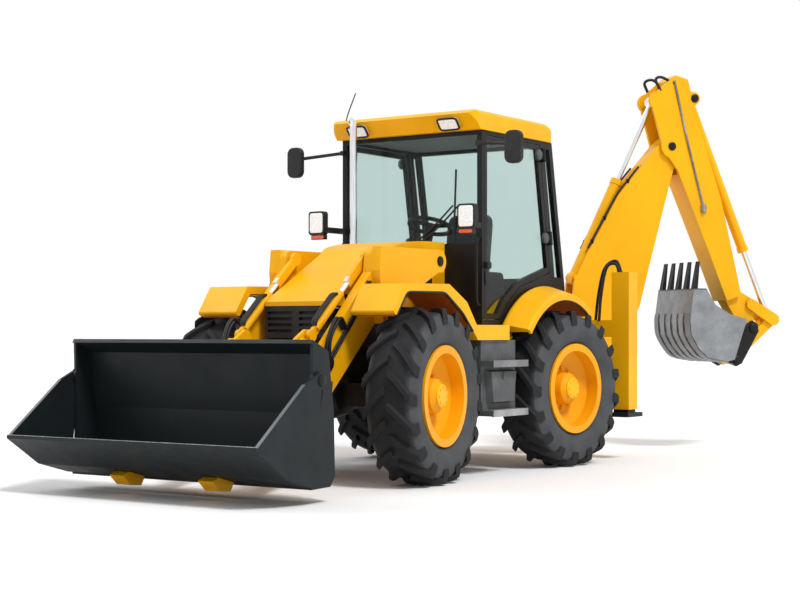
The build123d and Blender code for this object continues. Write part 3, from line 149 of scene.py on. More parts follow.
def disc(profile, origin, axis, turns=32):
    """A profile of (along, radius) pairs turned about an axis, with flat faces closing both ends."""
    profile = np.asarray(profile, float)
    axis = unit(axis)
    e1 = unit(np.cross(axis, np.cross(UP + 1e-6, axis)))
    e2 = np.cross(axis, e1)
    t = np.linspace(0, 2 * np.pi, turns, endpoint=False)
    spin = np.cos(t)[:, None] * e1 + np.sin(t)[:, None] * e2
    verts = np.asarray(origin, float) + profile[:, None, :1] * axis + profile[:, None, 1:] * spin[None]
    return verts.reshape(-1, 3), capped_faces(len(profile), turns)


def prism(points, offset):
    """A flat outline of 3-D points pushed along an offset, both ends closed."""
    p = np.asarray(points, float)
    return np.vstack([p, p + np.asarray(offset, float)]), capped_faces(2, len(p))


def soft_box(low, high, power=0.3, rows=14, cols=28):
    """A box with round edges: a superellipsoid, its sines and cosines of latitude and longitude raised to a power."""
    low, high = np.asarray(low, float), np.asarray(high, float)
    lat = np.linspace(-np.pi / 2, np.pi / 2, rows)
    lon = np.linspace(-np.pi, np.pi, cols, endpoint=False)
    x = rounded(np.cos(lat), power)[:, None] * rounded(np.cos(lon), power)
    y = rounded(np.cos(lat), power)[:, None] * rounded(np.sin(lon), power)
    z = np.broadcast_to(rounded(np.sin(lat), power)[:, None], x.shape)
    unit_box = np.stack([x, y, z], -1)[1:-1]
    middle, half = (low + high) / 2, (high - low) / 2
    return middle + unit_box.reshape(-1, 3) * half, capped_faces(rows - 2, cols)


def cushion(low, high, thin, channels, rows=44, cols=120):
    """A padded block: a superellipsoid whose sides pull in between its corners, with sewn channels pressed in.

    Each side shrinks by a parabola of the other's place, and each channel takes a bell curve off the thickness.
    """
    low, high = np.asarray(low, float), np.asarray(high, float)
    middle, half = (low + high) / 2, (high - low) / 2
    verts, faces = soft_box(low, high, 0.36, rows, cols)
    n = (verts - middle) / half
    other = ({0, 1, 2} - {thin, 1}).pop()
    shape = n.copy()
    shape[:, 1] = n[:, 1] * (1 - 0.05 * (1 - n[:, other] ** 2))
    shape[:, other] = n[:, other] * (1 - 0.04 * (1 - n[:, 1] ** 2))
    press = np.exp(-(((n[:, 1:2] - np.asarray(channels)[None]) / 0.045) ** 2)).sum(1)
    shape[:, thin] = n[:, thin] * (1 - 0.20 * press)
    return middle + half * shape, faces


def side_plate(outline, y, thick):
    """An (x, z) outline standing at one y, pushed outwards by its thickness."""
    return prism([(x, y, z) for x, z in outline], (0, thick, 0))


def moved(shape, by):
    """The same shape with every point shifted by one vector."""
    return shape[0] + by, shape[1]


def block(low, high):
    """A box between two corners."""
    (x0, y0, z0), (x1, y1, z1) = low, high
    return prism([(x0, y0, z0), (x1, y0, z0), (x1, y1, z0), (x0, y1, z0)], (0, 0, z1 - z0))


def nuts(centres, axis, radius, height, sides=6):
    """Hexagon heads at many places at once: one small bevelled ring, copied by adding each centre."""
    axis = unit(axis)
    e1 = unit(np.cross(axis, (0.31, 0.17, 0.93)))
    e2 = np.cross(axis, e1)
    t = np.linspace(0, 2 * np.pi, sides, endpoint=False)
    spin = np.cos(t)[:, None] * e1 + np.sin(t)[:, None] * e2
    rings = np.stack([radius * spin, radius * spin + 0.8 * height * axis, 0.8 * radius * spin + height * axis])
    centres = np.asarray(centres, float).reshape(-1, 1, 3)
    verts = (centres + rings.reshape(1, -1, 3)).reshape(-1, 3)
    step = 3 * sides
    return verts, [[k * step + i for i in f] for k in range(len(centres)) for f in capped_faces(3, sides)]


def ring_path(centre, across, up, power=0.35, count=40):
    """A rounded rectangle as closed points: centre + across * cos t ** power + up * sin t ** power."""
    t = np.linspace(0, 2 * np.pi, count, endpoint=False)
    c, s = rounded(np.cos(t), power)[:, None], rounded(np.sin(t), power)[:, None]
    return np.asarray(centre, float) + c * np.asarray(across, float) + s * np.asarray(up, float)


def loop(path, radius, sides=8):
    """A round profile carried round a flat closed path."""
    path = np.asarray(path, float)
    along = unit(np.roll(path, -1, 0) - np.roll(path, 1, 0))
    level = unit(np.cross(path[0] - path.mean(0), path[len(path) // 4] - path.mean(0)))
    inward = np.cross(level, along)
    t = np.linspace(0, 2 * np.pi, sides, endpoint=False)[None, :, None]
    verts = path[:, None] + radius * (np.cos(t) * level + np.sin(t) * inward[:, None])
    return verts.reshape(-1, 3), grid_faces(len(path), sides, wrap_rows=True, wrap_cols=True)


def ribbon(path, across, thick):
    """A strip: a path swept by one vector and given its thickness along another, ends closed."""
    p, a, k = (np.asarray(v, float) for v in (path, across, thick))
    verts = np.stack([p, p + a, p + a + k, p + k], 1).reshape(-1, 3)
    return verts, capped_faces(len(p), 4)


def run_round(points, bends=0.035, count=7):
    """A pipe's line: straight runs, each corner replaced by a quadratic bend between points near it."""
    p = np.asarray(points, float)
    line = [p[:1]]
    f = np.linspace(0, 1, count)[:, None]
    for a, b, c in zip(p[:-2], p[1:-1], p[2:]):
        start, end = b + unit(a - b) * bends, b + unit(c - b) * bends
        line.append((1 - f) ** 2 * start + 2 * f * (1 - f) * b + f**2 * end)
    return np.vstack(line + [p[-1:]])


def mirror_y(shape):
    """The same shape on the other side, with its faces turned the right way round."""
    verts, faces = shape
    return verts * np.array([1, -1, 1]), [f[::-1] for f in faces]


def both(shapes):
    """Shapes and their mirror images."""
    return list(shapes) + [mirror_y(s) for s in shapes]


def hoe(points):
    """Points given as (outward, height, left) in the slewed boom's plane, turned into the machine's frame."""
    p = np.asarray(points, float)
    return np.array([SLEW_X, 0, 0]) + p[..., :1] * HOE_OUT + p[..., 1:2] * UP + p[..., 2:3] * HOE_LEFT


def outward(mesh):
    """Turn every face of a closed mesh outwards."""
    work = bmesh.new()
    work.from_mesh(mesh)
    bmesh.ops.recalc_face_normals(work, faces=work.faces[:])
    work.to_mesh(mesh)
    work.free()


def fit(name, shapes, body, finish, crease=35.0, dust=None):
    """One object from several shapes, smoothed up to a crease angle, painted, and set to ride on a body."""
    verts, faces, start = [], [], 0
    for v, f in shapes:
        verts.append(np.asarray(v, float))
        faces.extend([[i + start for i in quad] for quad in f])
        start += len(v)
    mesh = bpy.data.meshes.new(name)
    mesh.from_pydata(np.vstack(verts).tolist(), [], faces)
    mesh.validate()
    if dust is not None:
        layer = mesh.attributes.new("dust", "FLOAT", "POINT")
        layer.data.foreach_set("value", np.asarray(dust, np.float32))
    mesh.polygons.foreach_set("use_smooth", np.ones(len(mesh.polygons), bool))
    mesh.set_sharp_from_angle(angle=math.radians(crease))
    mesh.materials.append(FINISHES[finish])
    mesh.update()
    obj = bpy.data.objects.new(name, mesh)
    bpy.context.scene.collection.objects.link(obj)
    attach(obj, body)
    outward(mesh)
    return obj


# Finishes

class Finish:
    """A node material under construction: small helpers that add and join nodes."""

    def __init__(self, name):
        self.material = bpy.data.materials.new(name)
        self.material.use_nodes = True
        self.tree = self.material.node_tree
        self.shader = self.tree.nodes["Principled BSDF"]
        self.place = self.tree.nodes.new("ShaderNodeTexCoord")

    def set(self, **sockets):
        for key, value in sockets.items():
            self.shader.inputs[key.replace("_", " ")].default_value = value
        return self

    def noise(self, scale, detail=4.0, rough=0.55, stretch=None):
        node = self.tree.nodes.new("ShaderNodeTexNoise")
        node.inputs["Scale"].default_value = scale
        node.inputs["Detail"].default_value = detail
        node.inputs["Roughness"].default_value = rough
        source = self.place.outputs["Object"]
        if stretch:
            mapping = self.tree.nodes.new("ShaderNodeMapping")
            mapping.inputs["Scale"].default_value = stretch
            self.tree.links.new(source, mapping.inputs["Vector"])
            source = mapping.outputs["Vector"]
        self.tree.links.new(source, node.inputs["Vector"])
        return node.outputs["Fac"]

    def cells(self, scale):
        node = self.tree.nodes.new("ShaderNodeTexVoronoi")
        node.inputs["Scale"].default_value = scale
        self.tree.links.new(self.place.outputs["Object"], node.inputs["Vector"])
        return node.outputs["Distance"]

    def ramp(self, value, low, high, out_low=0.0, out_high=1.0):
        node = self.tree.nodes.new("ShaderNodeMapRange")
        for key, number in (("From Min", low), ("From Max", high), ("To Min", out_low), ("To Max", out_high)):
            node.inputs[key].default_value = number
        self.tree.links.new(value, node.inputs["Value"])
        return node.outputs["Result"]

    def product(self, first, second):
        node = self.tree.nodes.new("ShaderNodeMath")
        node.operation = "MULTIPLY"
        self.tree.links.new(first, node.inputs[0])
        self.tree.links.new(second, node.inputs[1])
        return node.outputs[0]

    def mix(self, factor, first, second):
        node = self.tree.nodes.new("ShaderNodeMix")
        node.data_type = "RGBA"
        self.tree.links.new(factor, node.inputs["Factor"])
        for key, colour in (("A", first), ("B", second)):
            socket = [s for s in node.inputs if s.name == key and s.type == "RGBA"][0]
            if isinstance(colour, bpy.types.NodeSocket):
                self.tree.links.new(colour, socket)
            else:
                socket.default_value = (*colour[:3], 1.0)
        return [s for s in node.outputs if s.type == "RGBA"][0]

    def attribute(self, name):
        node = self.tree.nodes.new("ShaderNodeAttribute")
        node.attribute_name = name
        return node.outputs["Fac"]

    def along(self, axis):
        node = self.tree.nodes.new("ShaderNodeSeparateXYZ")
        self.tree.links.new(self.place.outputs["Object"], node.inputs["Vector"])
        return node.outputs[axis]

    def colour(self, socket):
        self.tree.links.new(socket, self.shader.inputs["Base Color"])
        return self

    def rough(self, socket):
        self.tree.links.new(socket, self.shader.inputs["Roughness"])
        return self

    def bump(self, socket, strength, distance=0.002):
        node = self.tree.nodes.new("ShaderNodeBump")
        node.inputs["Strength"].default_value = strength
        node.inputs["Distance"].default_value = distance
        self.tree.links.new(socket, node.inputs["Height"])
        self.tree.links.new(node.outputs["Normal"], self.shader.inputs["Normal"])
        return self


def shade(colour, factor):
    """A colour made darker or lighter by one factor."""
    return tuple(c * factor for c in colour)


def drifting(f, colour):
    """Slow drifts of tone between a colour and a slightly deeper one."""
    return f.mix(f.ramp(f.noise(1.6, 3), 0.35, 0.7), colour, shade(colour, 0.86))


def enamel(name, colour, gloss=0.36, dirt=(0.34, 0.20, 0.05), sheen=0.16):
    """Sprayed enamel: slow drifts of tone, faint orange peel, and a film of dust that fades upwards."""
    f = Finish(name)
    tone = drifting(f, colour)
    speck = f.ramp(f.noise(9.0, 6, 0.7), 0.52, 0.78, 0.0, 0.55)
    low = f.ramp(f.along("Z"), 0.1, 1.1, 0.35, 0.0)
    f.colour(f.mix(f.product(speck, low), tone, dirt))
    f.rough(f.ramp(f.noise(4.0, 5), 0.3, 0.75, gloss - 0.07, gloss + 0.12))
    f.bump(f.noise(420.0, 2), 0.05, 0.0006)
    return f.set(Coat_Weight=0.04, Coat_Roughness=0.15, Specular_IOR_Level=sheen).material


def rod_paint(name, colour, x_end):
    """Enamel up to a place along the machine, bare plating past it: a step on the object's own x."""
    f = Finish(name)
    step = f.tree.nodes.new("ShaderNodeMath")
    step.operation = "GREATER_THAN"
    step.inputs[1].default_value = x_end
    f.tree.links.new(f.along("X"), step.inputs[0])
    f.colour(f.mix(step.outputs[0], drifting(f, colour), PLATING))
    f.rough(f.ramp(f.noise(4.0, 5), 0.3, 0.75, 0.18, 0.34))
    f.tree.links.new(step.outputs[0], f.shader.inputs["Metallic"])
    return f.set(Specular_IOR_Level=0.3).material


def dig_steel(name, colour, dark, z_teeth):
    """Scuffed plate with dark teeth: a step on the object's own z, over tone drifts from noise."""
    f = Finish(name)
    above = f.ramp(f.along("Z"), z_teeth - 0.01, z_teeth + 0.01)
    plate = f.mix(f.ramp(f.noise(7.0, 6, 0.65), 0.35, 0.7), colour, shade(colour, 1.5))
    f.colour(f.mix(above, plate, dark))
    f.rough(f.ramp(f.noise(12.0, 5), 0.3, 0.75, 0.40, 0.60))
    f.bump(f.noise(60.0, 4), 0.08, 0.001)
    return f.set(Metallic=0.35, Specular_IOR_Level=0.35).material


def worn_steel(name, colour, bright, gloss=0.45):
    """Bare worked steel: scratches along one way, brighter rubbed patches and dull stains."""
    f = Finish(name)
    scratch = f.noise(60.0, 5, 0.6, (0.4, 0.4, 4.0))
    rubbed = f.mix(f.ramp(f.noise(3.2, 5), 0.42, 0.72), colour, bright)
    f.colour(f.mix(f.ramp(scratch, 0.35, 0.7, 0.0, 0.5), rubbed, shade(colour, 0.7)))
    f.rough(f.ramp(scratch, 0.3, 0.7, gloss - 0.1, gloss + 0.15))
    f.bump(scratch, 0.12, 0.0012)
    return f.set(Metallic=0.75).material


def grained_plastic(name, colour, gloss=0.55):
    """Moulded plastic with a leathery grain and slightly greyed high spots."""
    f = Finish(name)
    grain = f.cells(520.0)
    pale = tuple(min(1.0, c * 1.6 + 0.01) for c in colour)
    f.colour(f.mix(f.ramp(f.noise(5.0, 5), 0.45, 0.75, 0.0, 0.7), colour, pale))
    f.rough(f.ramp(f.noise(7.0, 4), 0.3, 0.7, gloss - 0.08, gloss + 0.1))
    f.bump(grain, 0.10, 0.0006)
    return f.set(Specular_IOR_Level=0.3).material


def tyre_rubber(name, colour, dusty):
    """Tyre rubber: the dust attribute greys the side walls, over fine mould grain."""
    f = Finish(name)
    patch = f.ramp(f.noise(6.0, 6, 0.65), 0.3, 0.75, 0.45, 1.0)
    f.colour(f.mix(f.product(f.attribute("dust"), patch), colour, dusty))
    f.rough(f.ramp(f.noise(12.0, 4), 0.3, 0.7, 0.68, 0.88))
    f.bump(f.noise(160.0, 4), 0.18, 0.0015)
    return f.set(Specular_IOR_Level=0.25).material


def plated(name, colour):
    """Polished plating with faint drawn lines."""
    f = Finish(name)
    lines = f.noise(90.0, 3, 0.5, (1.0, 1.0, 0.05))
    f.colour(f.mix(f.ramp(lines, 0.3, 0.7), colour, shade(colour, 0.82)))
    f.rough(f.ramp(lines, 0.3, 0.7, 0.10, 0.22))
    return f.set(Metallic=1.0).material


def tinted_glass(name, colour):
    """Clear tinted sheet, a little wavy, with dust that dulls it in patches."""
    f = Finish(name)
    f.set(Base_Color=(*colour, 1.0), Transmission_Weight=1.0, IOR=1.2)
    f.rough(f.ramp(f.noise(3.0, 5), 0.4, 0.8, 0.0, 0.06))
    f.bump(f.noise(1.5, 2), 0.02, 0.002)
    return f.material


def woven(name, colour):
    """Seat cloth: fine ribs from stretched noise and a slow fade."""
    f = Finish(name)
    ribs = f.noise(260.0, 2, 0.5, (1.0, 6.0, 1.0))
    f.colour(f.mix(f.ramp(f.noise(8.0, 5), 0.35, 0.7), colour, shade(colour, 1.7)))
    f.bump(ribs, 0.4, 0.0015)
    return f.set(Roughness=0.9, Sheen_Weight=0.25).material


def lamp_lens(name, colour, glow=0.0):
    """Moulded lens: small domed cells in a clear or coloured plastic."""
    f = Finish(name)
    cell = f.cells(70.0)
    f.colour(f.mix(f.ramp(cell, 0.1, 0.6), colour, shade(colour, 0.75)))
    f.bump(cell, 0.5, 0.004)
    return f.set(Roughness=0.12, Coat_Weight=0.6, Emission_Color=(*colour, 1.0), Emission_Strength=glow).material


class LoaderPaint(bpy.types.PropertyGroup):
    """Colours of the machine."""

    body: FloatVectorProperty(name="Body", description="Enamel of the body and arms", subtype="COLOR", size=3,
                              default=(0.93, 0.455, 0.004), min=0, max=1)
    # The rims' colour is the body yellow made deeper orange: painted shade of the recessed rims
    wheel: FloatVectorProperty(name="Wheel", description="Enamel of the rims", subtype="COLOR", size=3,
                               default=(0.90, 0.385, 0.004), min=0, max=1)
    bucket: FloatVectorProperty(name="Bucket", description="Enamel of the loader bucket", subtype="COLOR", size=3,
                                default=(0.010, 0.014, 0.016), min=0, max=1)
    frame: FloatVectorProperty(name="Frame", description="Enamel of pillars and axles", subtype="COLOR", size=3,
                               default=(0.012, 0.012, 0.013), min=0, max=1)
    steel: FloatVectorProperty(name="Steel", description="Digging bucket", subtype="COLOR", size=3,
                               default=(0.20, 0.21, 0.22), min=0, max=1)
    glass: FloatVectorProperty(name="Glass", description="Tint of the windows", subtype="COLOR", size=3,
                               default=(0.70, 0.80, 0.78), min=0, max=1)


class LoaderTyre(bpy.types.PropertyGroup):
    """Sizes of the tyres and their tread."""

    radius: FloatProperty(name="Radius", description="Out to the tips of the lugs", default=0.695, unit="LENGTH")
    width: FloatProperty(name="Width", description="Across the tread", default=0.420, unit="LENGTH")
    lug_height: FloatProperty(name="Lug height", description="Depth of the tread", default=0.042, unit="LENGTH")
    lugs: IntProperty(name="Lugs", description="Lugs on each side of a tyre", default=17, min=8, max=40)
    sweep: FloatProperty(name="Sweep", description="How far a lug leans back", subtype="ANGLE",
                         default=math.radians(17))


class LoaderTrim(bpy.types.PropertyGroup):
    """Sizes of the small fittings."""

    hose: FloatProperty(name="Hose", description="Thickness of a hydraulic hose", default=0.030, unit="LENGTH")
    pipe: FloatProperty(name="Pipe", description="Thickness of a steel pipe", default=0.022, unit="LENGTH")
    rubber_edge: FloatProperty(name="Edging", description="Thickness of the fender edging", unit="LENGTH",
                               default=0.024)


class LoaderStage(bpy.types.PropertyGroup):
    """Floor, light and camera."""

    floor: FloatVectorProperty(name="Floor", description="Colour of the floor", subtype="COLOR", size=3,
                               default=(0.93, 0.93, 0.93), min=0, max=1)
    lens: FloatProperty(name="Lens", description="Focal length", default=72.33, unit="CAMERA")
    sky: FloatProperty(name="Sky", description="Strength of the even light", default=0.62)
    key: FloatProperty(name="Key", description="Strength of the main lamp", default=2.2)


class LOADER_OT_paint(bpy.types.Operator):
    """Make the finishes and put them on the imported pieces."""

    bl_idname = "loader.paint"
    bl_label = "Paint the pieces"

    def execute(self, context):
        p = context.scene.loader_paint
        F = FINISHES
        F["body"] = enamel("body_enamel", tuple(p.body))
        F["bright"] = enamel("hub_enamel", (0.93, 0.50, 0.010))
        # Rim enamel: the body yellow deepened as painted shade
        F["wheel"] = enamel("rim_enamel_shaded", tuple(p.wheel), 0.36)
        F["bucket"] = enamel("bucket_enamel", tuple(p.bucket), 0.5, (0.035, 0.036, 0.036), 0.22)
        F["edge"] = worn_steel("rubbed_plate", (0.13, 0.15, 0.16), (0.24, 0.26, 0.27))
        F["frame"] = enamel("frame_enamel", tuple(p.frame), 0.38, (0.10, 0.09, 0.08))
        F["plastic"] = grained_plastic("black_plastic", (0.012, 0.012, 0.013))
        F["box"] = grained_plastic("box_plastic", (0.075, 0.08, 0.082), 0.5)
        F["steel"] = worn_steel("bucket_steel", tuple(p.steel), (0.42, 0.43, 0.44))
        F["chrome"] = plated("plated_rod", PLATING)
        F["tread"] = worn_steel("step_tread", (0.22, 0.22, 0.23), (0.55, 0.55, 0.56), 0.4)
        F["rubber"] = tyre_rubber("tyre_rubber", (0.010, 0.010, 0.011), (0.082, 0.087, 0.094))
        F["glass"] = tinted_glass("window_glass", tuple(p.glass))
        F["cloth"] = woven("seat_cloth", (0.018, 0.019, 0.021))
        F["lens"] = lamp_lens("clear_lens", (0.86, 0.87, 0.88), 0.25)
        F["amber"] = lamp_lens("amber_lens", (0.85, 0.10, 0.015), 0.05)
        F["cast"] = grained_plastic("cast_block", (0.03, 0.03, 0.032), 0.7)
        # Deep orange enamel for the sheets under the fenders: painted shade of the fender undersides
        F["shade_sheet"] = enamel("fender_painted_shade", (0.62, 0.12, 0.010), 0.5)
        F["hose"] = grained_plastic("hose_rubber", (0.008, 0.008, 0.009), 0.45)
        F["crowd_rod"] = rod_paint("crowd_rod_finish", tuple(p.body), ROD_PAINT_END)
        F["dig"] = dig_steel("dig_bucket_steel", tuple(p.steel), (0.010, 0.011, 0.012), TOOTH_ROOT_Z)
        slots = {"yellow": "body", "orange_yellow": "wheel", "charcoal": "bucket", "black": "frame",
                 "black_plastic": "plastic", "grey_steel": "steel", "chrome": "chrome", "tyre": "rubber",
                 "glass": "glass", "fabric": "cloth", "lamp": "lens", "cast": "cast"}
        where = {s["node"]: s["material_slot"] for s in FRAME["record"]["subparts"]}
        special = {"crowd_ram_rods": "crowd_rod", "dig_bucket": "dig", "front_lamps": "plastic",
                   "roof_lamps": "lens", "mirrors": "plastic", "step_boxes": "box"}
        for name, obj in NODES.items():
            finish = F[special.get(name, slots[where[name]])]
            obj.data.materials.clear()
            obj.data.materials.append(finish)
        return {"FINISHED"}


def wheel_frame(end, side):
    """Kingpin point and outward axis of a wheel as parked."""
    turn = STEER[end]
    x = WHEELBASE if end == "front" else 0.0
    out = side * np.array([-math.sin(turn), math.cos(turn), 0.0])
    return np.array([x, side * KINGPIN_Y, AXLE_Z]), out


def wheel_points(end, side, along, radius, angle):
    """Points given by distance out along the axle, radius and angle round it."""
    origin, out = wheel_frame(end, side)
    fore = np.cross(UP, out)
    ray = np.cos(angle)[..., None] * UP + np.sin(angle)[..., None] * fore
    return origin + along[..., None] * out + radius[..., None] * ray


def bolt_circle(end, side, along, radius, count):
    """Places evenly spaced round a wheel's axle."""
    angle = np.arange(count) * 2 * np.pi / count
    return wheel_points(end, side, np.full(count, along), np.full(count, radius), angle)


def tyre_shapes(end, side):
    """Carcass: a rounded section turned about the axle. Lugs: a trapezium carried from the middle to the shoulder."""
    t = bpy.context.scene.loader_tyre
    half, top = t.width / 2, t.radius
    base = top - t.lug_height
    wall = [
        (0.168, 0.364), (0.170, 0.404), (0.186, 0.430), (0.203, 0.470), (0.210, 0.520), (0.208, 0.570),
        (0.200, 0.610), (0.182, 0.640), (0.140, base),
    ]
    section = np.array([(-a, r) for a, r in wall] + [(0.0, base + 0.004)] + wall[::-1])
    turns = 96
    angle = np.linspace(0, 2 * np.pi, turns, endpoint=False)
    along, around = np.broadcast_arrays(TRACK_IN + section[:, :1], angle[None])
    radius = np.broadcast_to(section[:, 1:], along.shape)
    carcass = wheel_points(end, side, along, radius, around).reshape(-1, 3)
    faces = grid_faces(len(section), turns, wrap_rows=True, wrap_cols=True)
    dust = np.where(np.abs(section[:, 0]) > 0.17, 1.0, 0.15)
    dust = np.broadcast_to(dust[:, None], along.shape).reshape(-1)
    s = np.linspace(0, 1, 12)
    spread = np.minimum(1.0, s * 1.18)
    inner, camber, sunk, fall = 0.008, 0.012, 0.012, 0.075
    reach = inner + (half - inner) * spread
    lean = -t.sweep * spread**1.25
    drop = np.clip((s - 0.80) / 0.20, 0, 1)
    crown = top - camber * (reach / half) ** 2 - fall * drop**1.4
    foot = base - sunk - fall * drop
    width = 0.058 + 0.020 * s
    profile = np.array([(-0.66, 0), (-0.52, 0.80), (-0.40, 1.0), (0.40, 1.0), (0.52, 0.80), (0.66, 0)])
    count = t.lugs
    shapes_v, shapes_f, start = [carcass], list(faces), len(carcass)
    dusts = [dust]
    for hand in (-1, 1):
        phase = np.arange(count) * 2 * np.pi / count + (np.pi / count if hand > 0 else 0)
        r = foot[:, None] + (crown - foot)[:, None] * profile[None, :, 1]
        turn = lean[:, None] + width[:, None] * profile[None, :, 0] / top
        a = np.broadcast_to(TRACK_IN + hand * (reach[:, None] - 0.004 * (profile[None, :, 1] - 1)), r.shape)
        shape = (count, *r.shape)
        verts = wheel_points(end, side, np.broadcast_to(a, shape), np.broadcast_to(r, shape),
                             side * (phase[:, None, None] + turn[None]))
        rows, cols = r.shape
        one = capped_faces(rows, cols)
        if hand > 0:
            one = [f[::-1] for f in one]
        shapes_f.extend([[start + k * rows * cols + i for i in f] for k in range(count) for f in one])
        shapes_v.append(verts.reshape(-1, 3))
        dusts.append(np.full(count * rows * cols, 0.12))
        start += count * rows * cols
    return (np.vstack(shapes_v), shapes_f), np.concatenate(dusts)


class LOADER_OT_tyres(bpy.types.Operator):
    """Lugged tyres in place of the plain rings."""

    bl_idname = "loader.tyres"
    bl_label = "Tyres"

    def execute(self, context):
        for end in ENDS:
            for name, side in SIDES:
                shape, dust = tyre_shapes(end, side)
                obj = fit(f"lugged_tyre_{end}_{name}", [shape], f"wheel_{end}_{name}", "rubber", dust=dust)
                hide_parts(f"tyre_{end}_{name}")
        return {"FINISHED"}


class LOADER_OT_wheel_nuts(bpy.types.Operator):
    """Bright hub caps with their bolts, and the ring of wheel nuts on each rim."""

    bl_idname = "loader.wheel_nuts"
    bl_label = "Hub caps and wheel nuts"

    def execute(self, context):
        for end in ENDS:
            for name, side in SIDES:
                origin, out = wheel_frame(end, side)
                cap = disc([(0.318, 0.096), (0.334, 0.094), (0.341, 0.084), (0.343, 0.050)], origin, out, 40)
                body = f"wheel_{end}_{name}"
                fit(f"hub_cap_{end}_{name}", [cap], body, "bright", 30)
                studs = bolt_circle(end, side, 0.194, 0.178, 10)
                bolts = bolt_circle(end, side, 0.340, 0.072, 8)
                heads = [nuts(studs, out, 0.019, 0.026), nuts(bolts, out, 0.009, 0.007)]
                # The nuts take the rims' enamel, whose deeper orange is painted shade
                fit(f"wheel_nuts_{end}_{name}", heads, body, "wheel", 25)
        return {"FINISHED"}


class LOADER_OT_cab_fittings(bpy.types.Operator):
    """Lamp lenses and bezels, mirror glass, wiper, handles, radio whip, door fittings, lining and driver's place."""

    bl_idname = "loader.cab_fittings"
    bl_label = "Cab fittings"

    def execute(self, context):
        lining = soft_box((-0.118, -0.687, 2.914), (0.958, 0.687, 2.950), 0.12)
        fit("head_lining", [lining], "chassis", "cloth")
        foot_profile = [(0.0, 0.022), (0.020, 0.020), (0.026, 0.012)]
        arms, pivots = [], []
        for y in (0.06, 0.12):
            sweep = [(1.004, y, 1.985), (1.010, y + 0.20, 2.13), (1.006, y + 0.38, 2.29)]
            arms.append(tube(curve_through(sweep), 0.008))
            pivots.append(disc(foot_profile, (0.990, y, 1.985), (1, 0, 0), 20))
        blade = tube(curve_through([(1.001, 0.45, 2.04), (1.003, 0.46, 2.30), (1.001, 0.47, 2.60)]), 0.009)
        fit("screen_wiper", arms + [blade] + pivots, "chassis", "plastic")
        rail = [(1.010, 0.716, 1.42), (1.062, 0.716, 1.44), (1.062, 0.716, 1.98), (1.010, 0.716, 2.00)]
        fit("grab_handles", both([tube(run_round(rail), 0.012)]), "chassis", "frame")
        for name, low, high, power, finish, slot in (
            ("mirror_glass", (1.1475, 1.088, 2.622), (1.157, 1.214, 2.853), 0.25, "chrome", "chrome"),
            ("front_lamp_lenses", (1.336, 0.716, 2.078), (1.352, 0.856, 2.254), 0.25, "lens", "lamp"),
            ("turn_lamp_lenses", (1.326, 0.712, 2.024), (1.341, 0.843, 2.057), 0.3, "amber", "lamp"),
        ):
            fit(name, both([soft_box(low, high, power)]), "chassis", finish)
        slope, face = unit((0.112, 0, 0.130)), unit((0.130, 0, -0.112))
        frames = [
            loop(ring_path(np.array([1.124, y, 2.990]) + face * 0.024, (0, 0.097, 0), slope * 0.057), 0.010)
            for y in (-0.48, 0.48)
        ]
        fit("roof_lamp_bezels", frames, "chassis", "plastic")
        whip = tube(curve_through([(1.020, -0.70, 3.080), (0.985, -0.70, 3.17), (0.870, -0.70, 3.37)]), 0.0055, 8)
        foot = disc([(0.0, 0.022), (0.018, 0.018), (0.030, 0.008)], (1.020, -0.70, 3.078), (-0.3, 0, 0.95), 16)
        fit("radio_whip", [whip, foot], "chassis", "plastic")
        dome = [(0.0, 0.050), (0.022, 0.048), (0.030, 0.038), (0.032, 0.012)]
        covers = [disc(dome, (x, 0.739, z), LEFTWARD, 28) for x, z in ((0.054, 2.797), (-0.070, 2.051))]
        pull = soft_box((0.905, 0.738, 1.74), (0.968, 0.776, 1.80), 0.4)
        latch = soft_box((0.925, 0.736, 1.60), (0.968, 0.752, 1.72), 0.3)
        for name, side in SIDES:
            caps, grips = covers, [pull, latch]
            if side < 0:
                caps, grips = [mirror_y(x) for x in caps], [mirror_y(x) for x in grips]
            fit(f"hinge_covers_{name}", caps, f"door_{name}", "box")
            fit(f"door_pull_{name}", grips, f"door_{name}", "plastic")
        base = cushion((0.05, -0.245, 1.590), (0.54, 0.245, 1.725), 2, (-0.5, 0.5))
        back, back_faces = cushion((0.035, -0.235, 1.64), (0.155, 0.235, 2.295), 0, (-0.5, 0.5))
        back[:, 0] -= 0.135 * (back[:, 2] - 1.66)
        rest = soft_box((-0.045, -0.13, 2.16), (0.050, 0.13, 2.299), 0.5)
        seat = fit("seat_cushions", [base, (back, back_faces), rest], "chassis", "cloth", 60)
        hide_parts("driver_seat")
        stand = soft_box((0.15, -0.15, 1.249), (0.42, 0.15, 1.60), 0.15)
        sides = both([soft_box((0.12, 0.30, 1.249), (0.54, 0.43, 1.74), 0.2)])
        levers = both([
            tube(curve_through([(x, 0.365, 1.72), (x + 0.01, 0.360, 1.84), (x + 0.03, 0.350, 1.93)]), 0.010)
            for x in (0.40, 0.48)
        ])
        knobs = both([soft_box((x - 0.005, 0.325, 1.91), (x + 0.055, 0.380, 1.985), 0.7) for x in (0.405, 0.485)])
        fit("seat_consoles", [stand] + sides + levers + knobs, "chassis", "plastic")
        return {"FINISHED"}


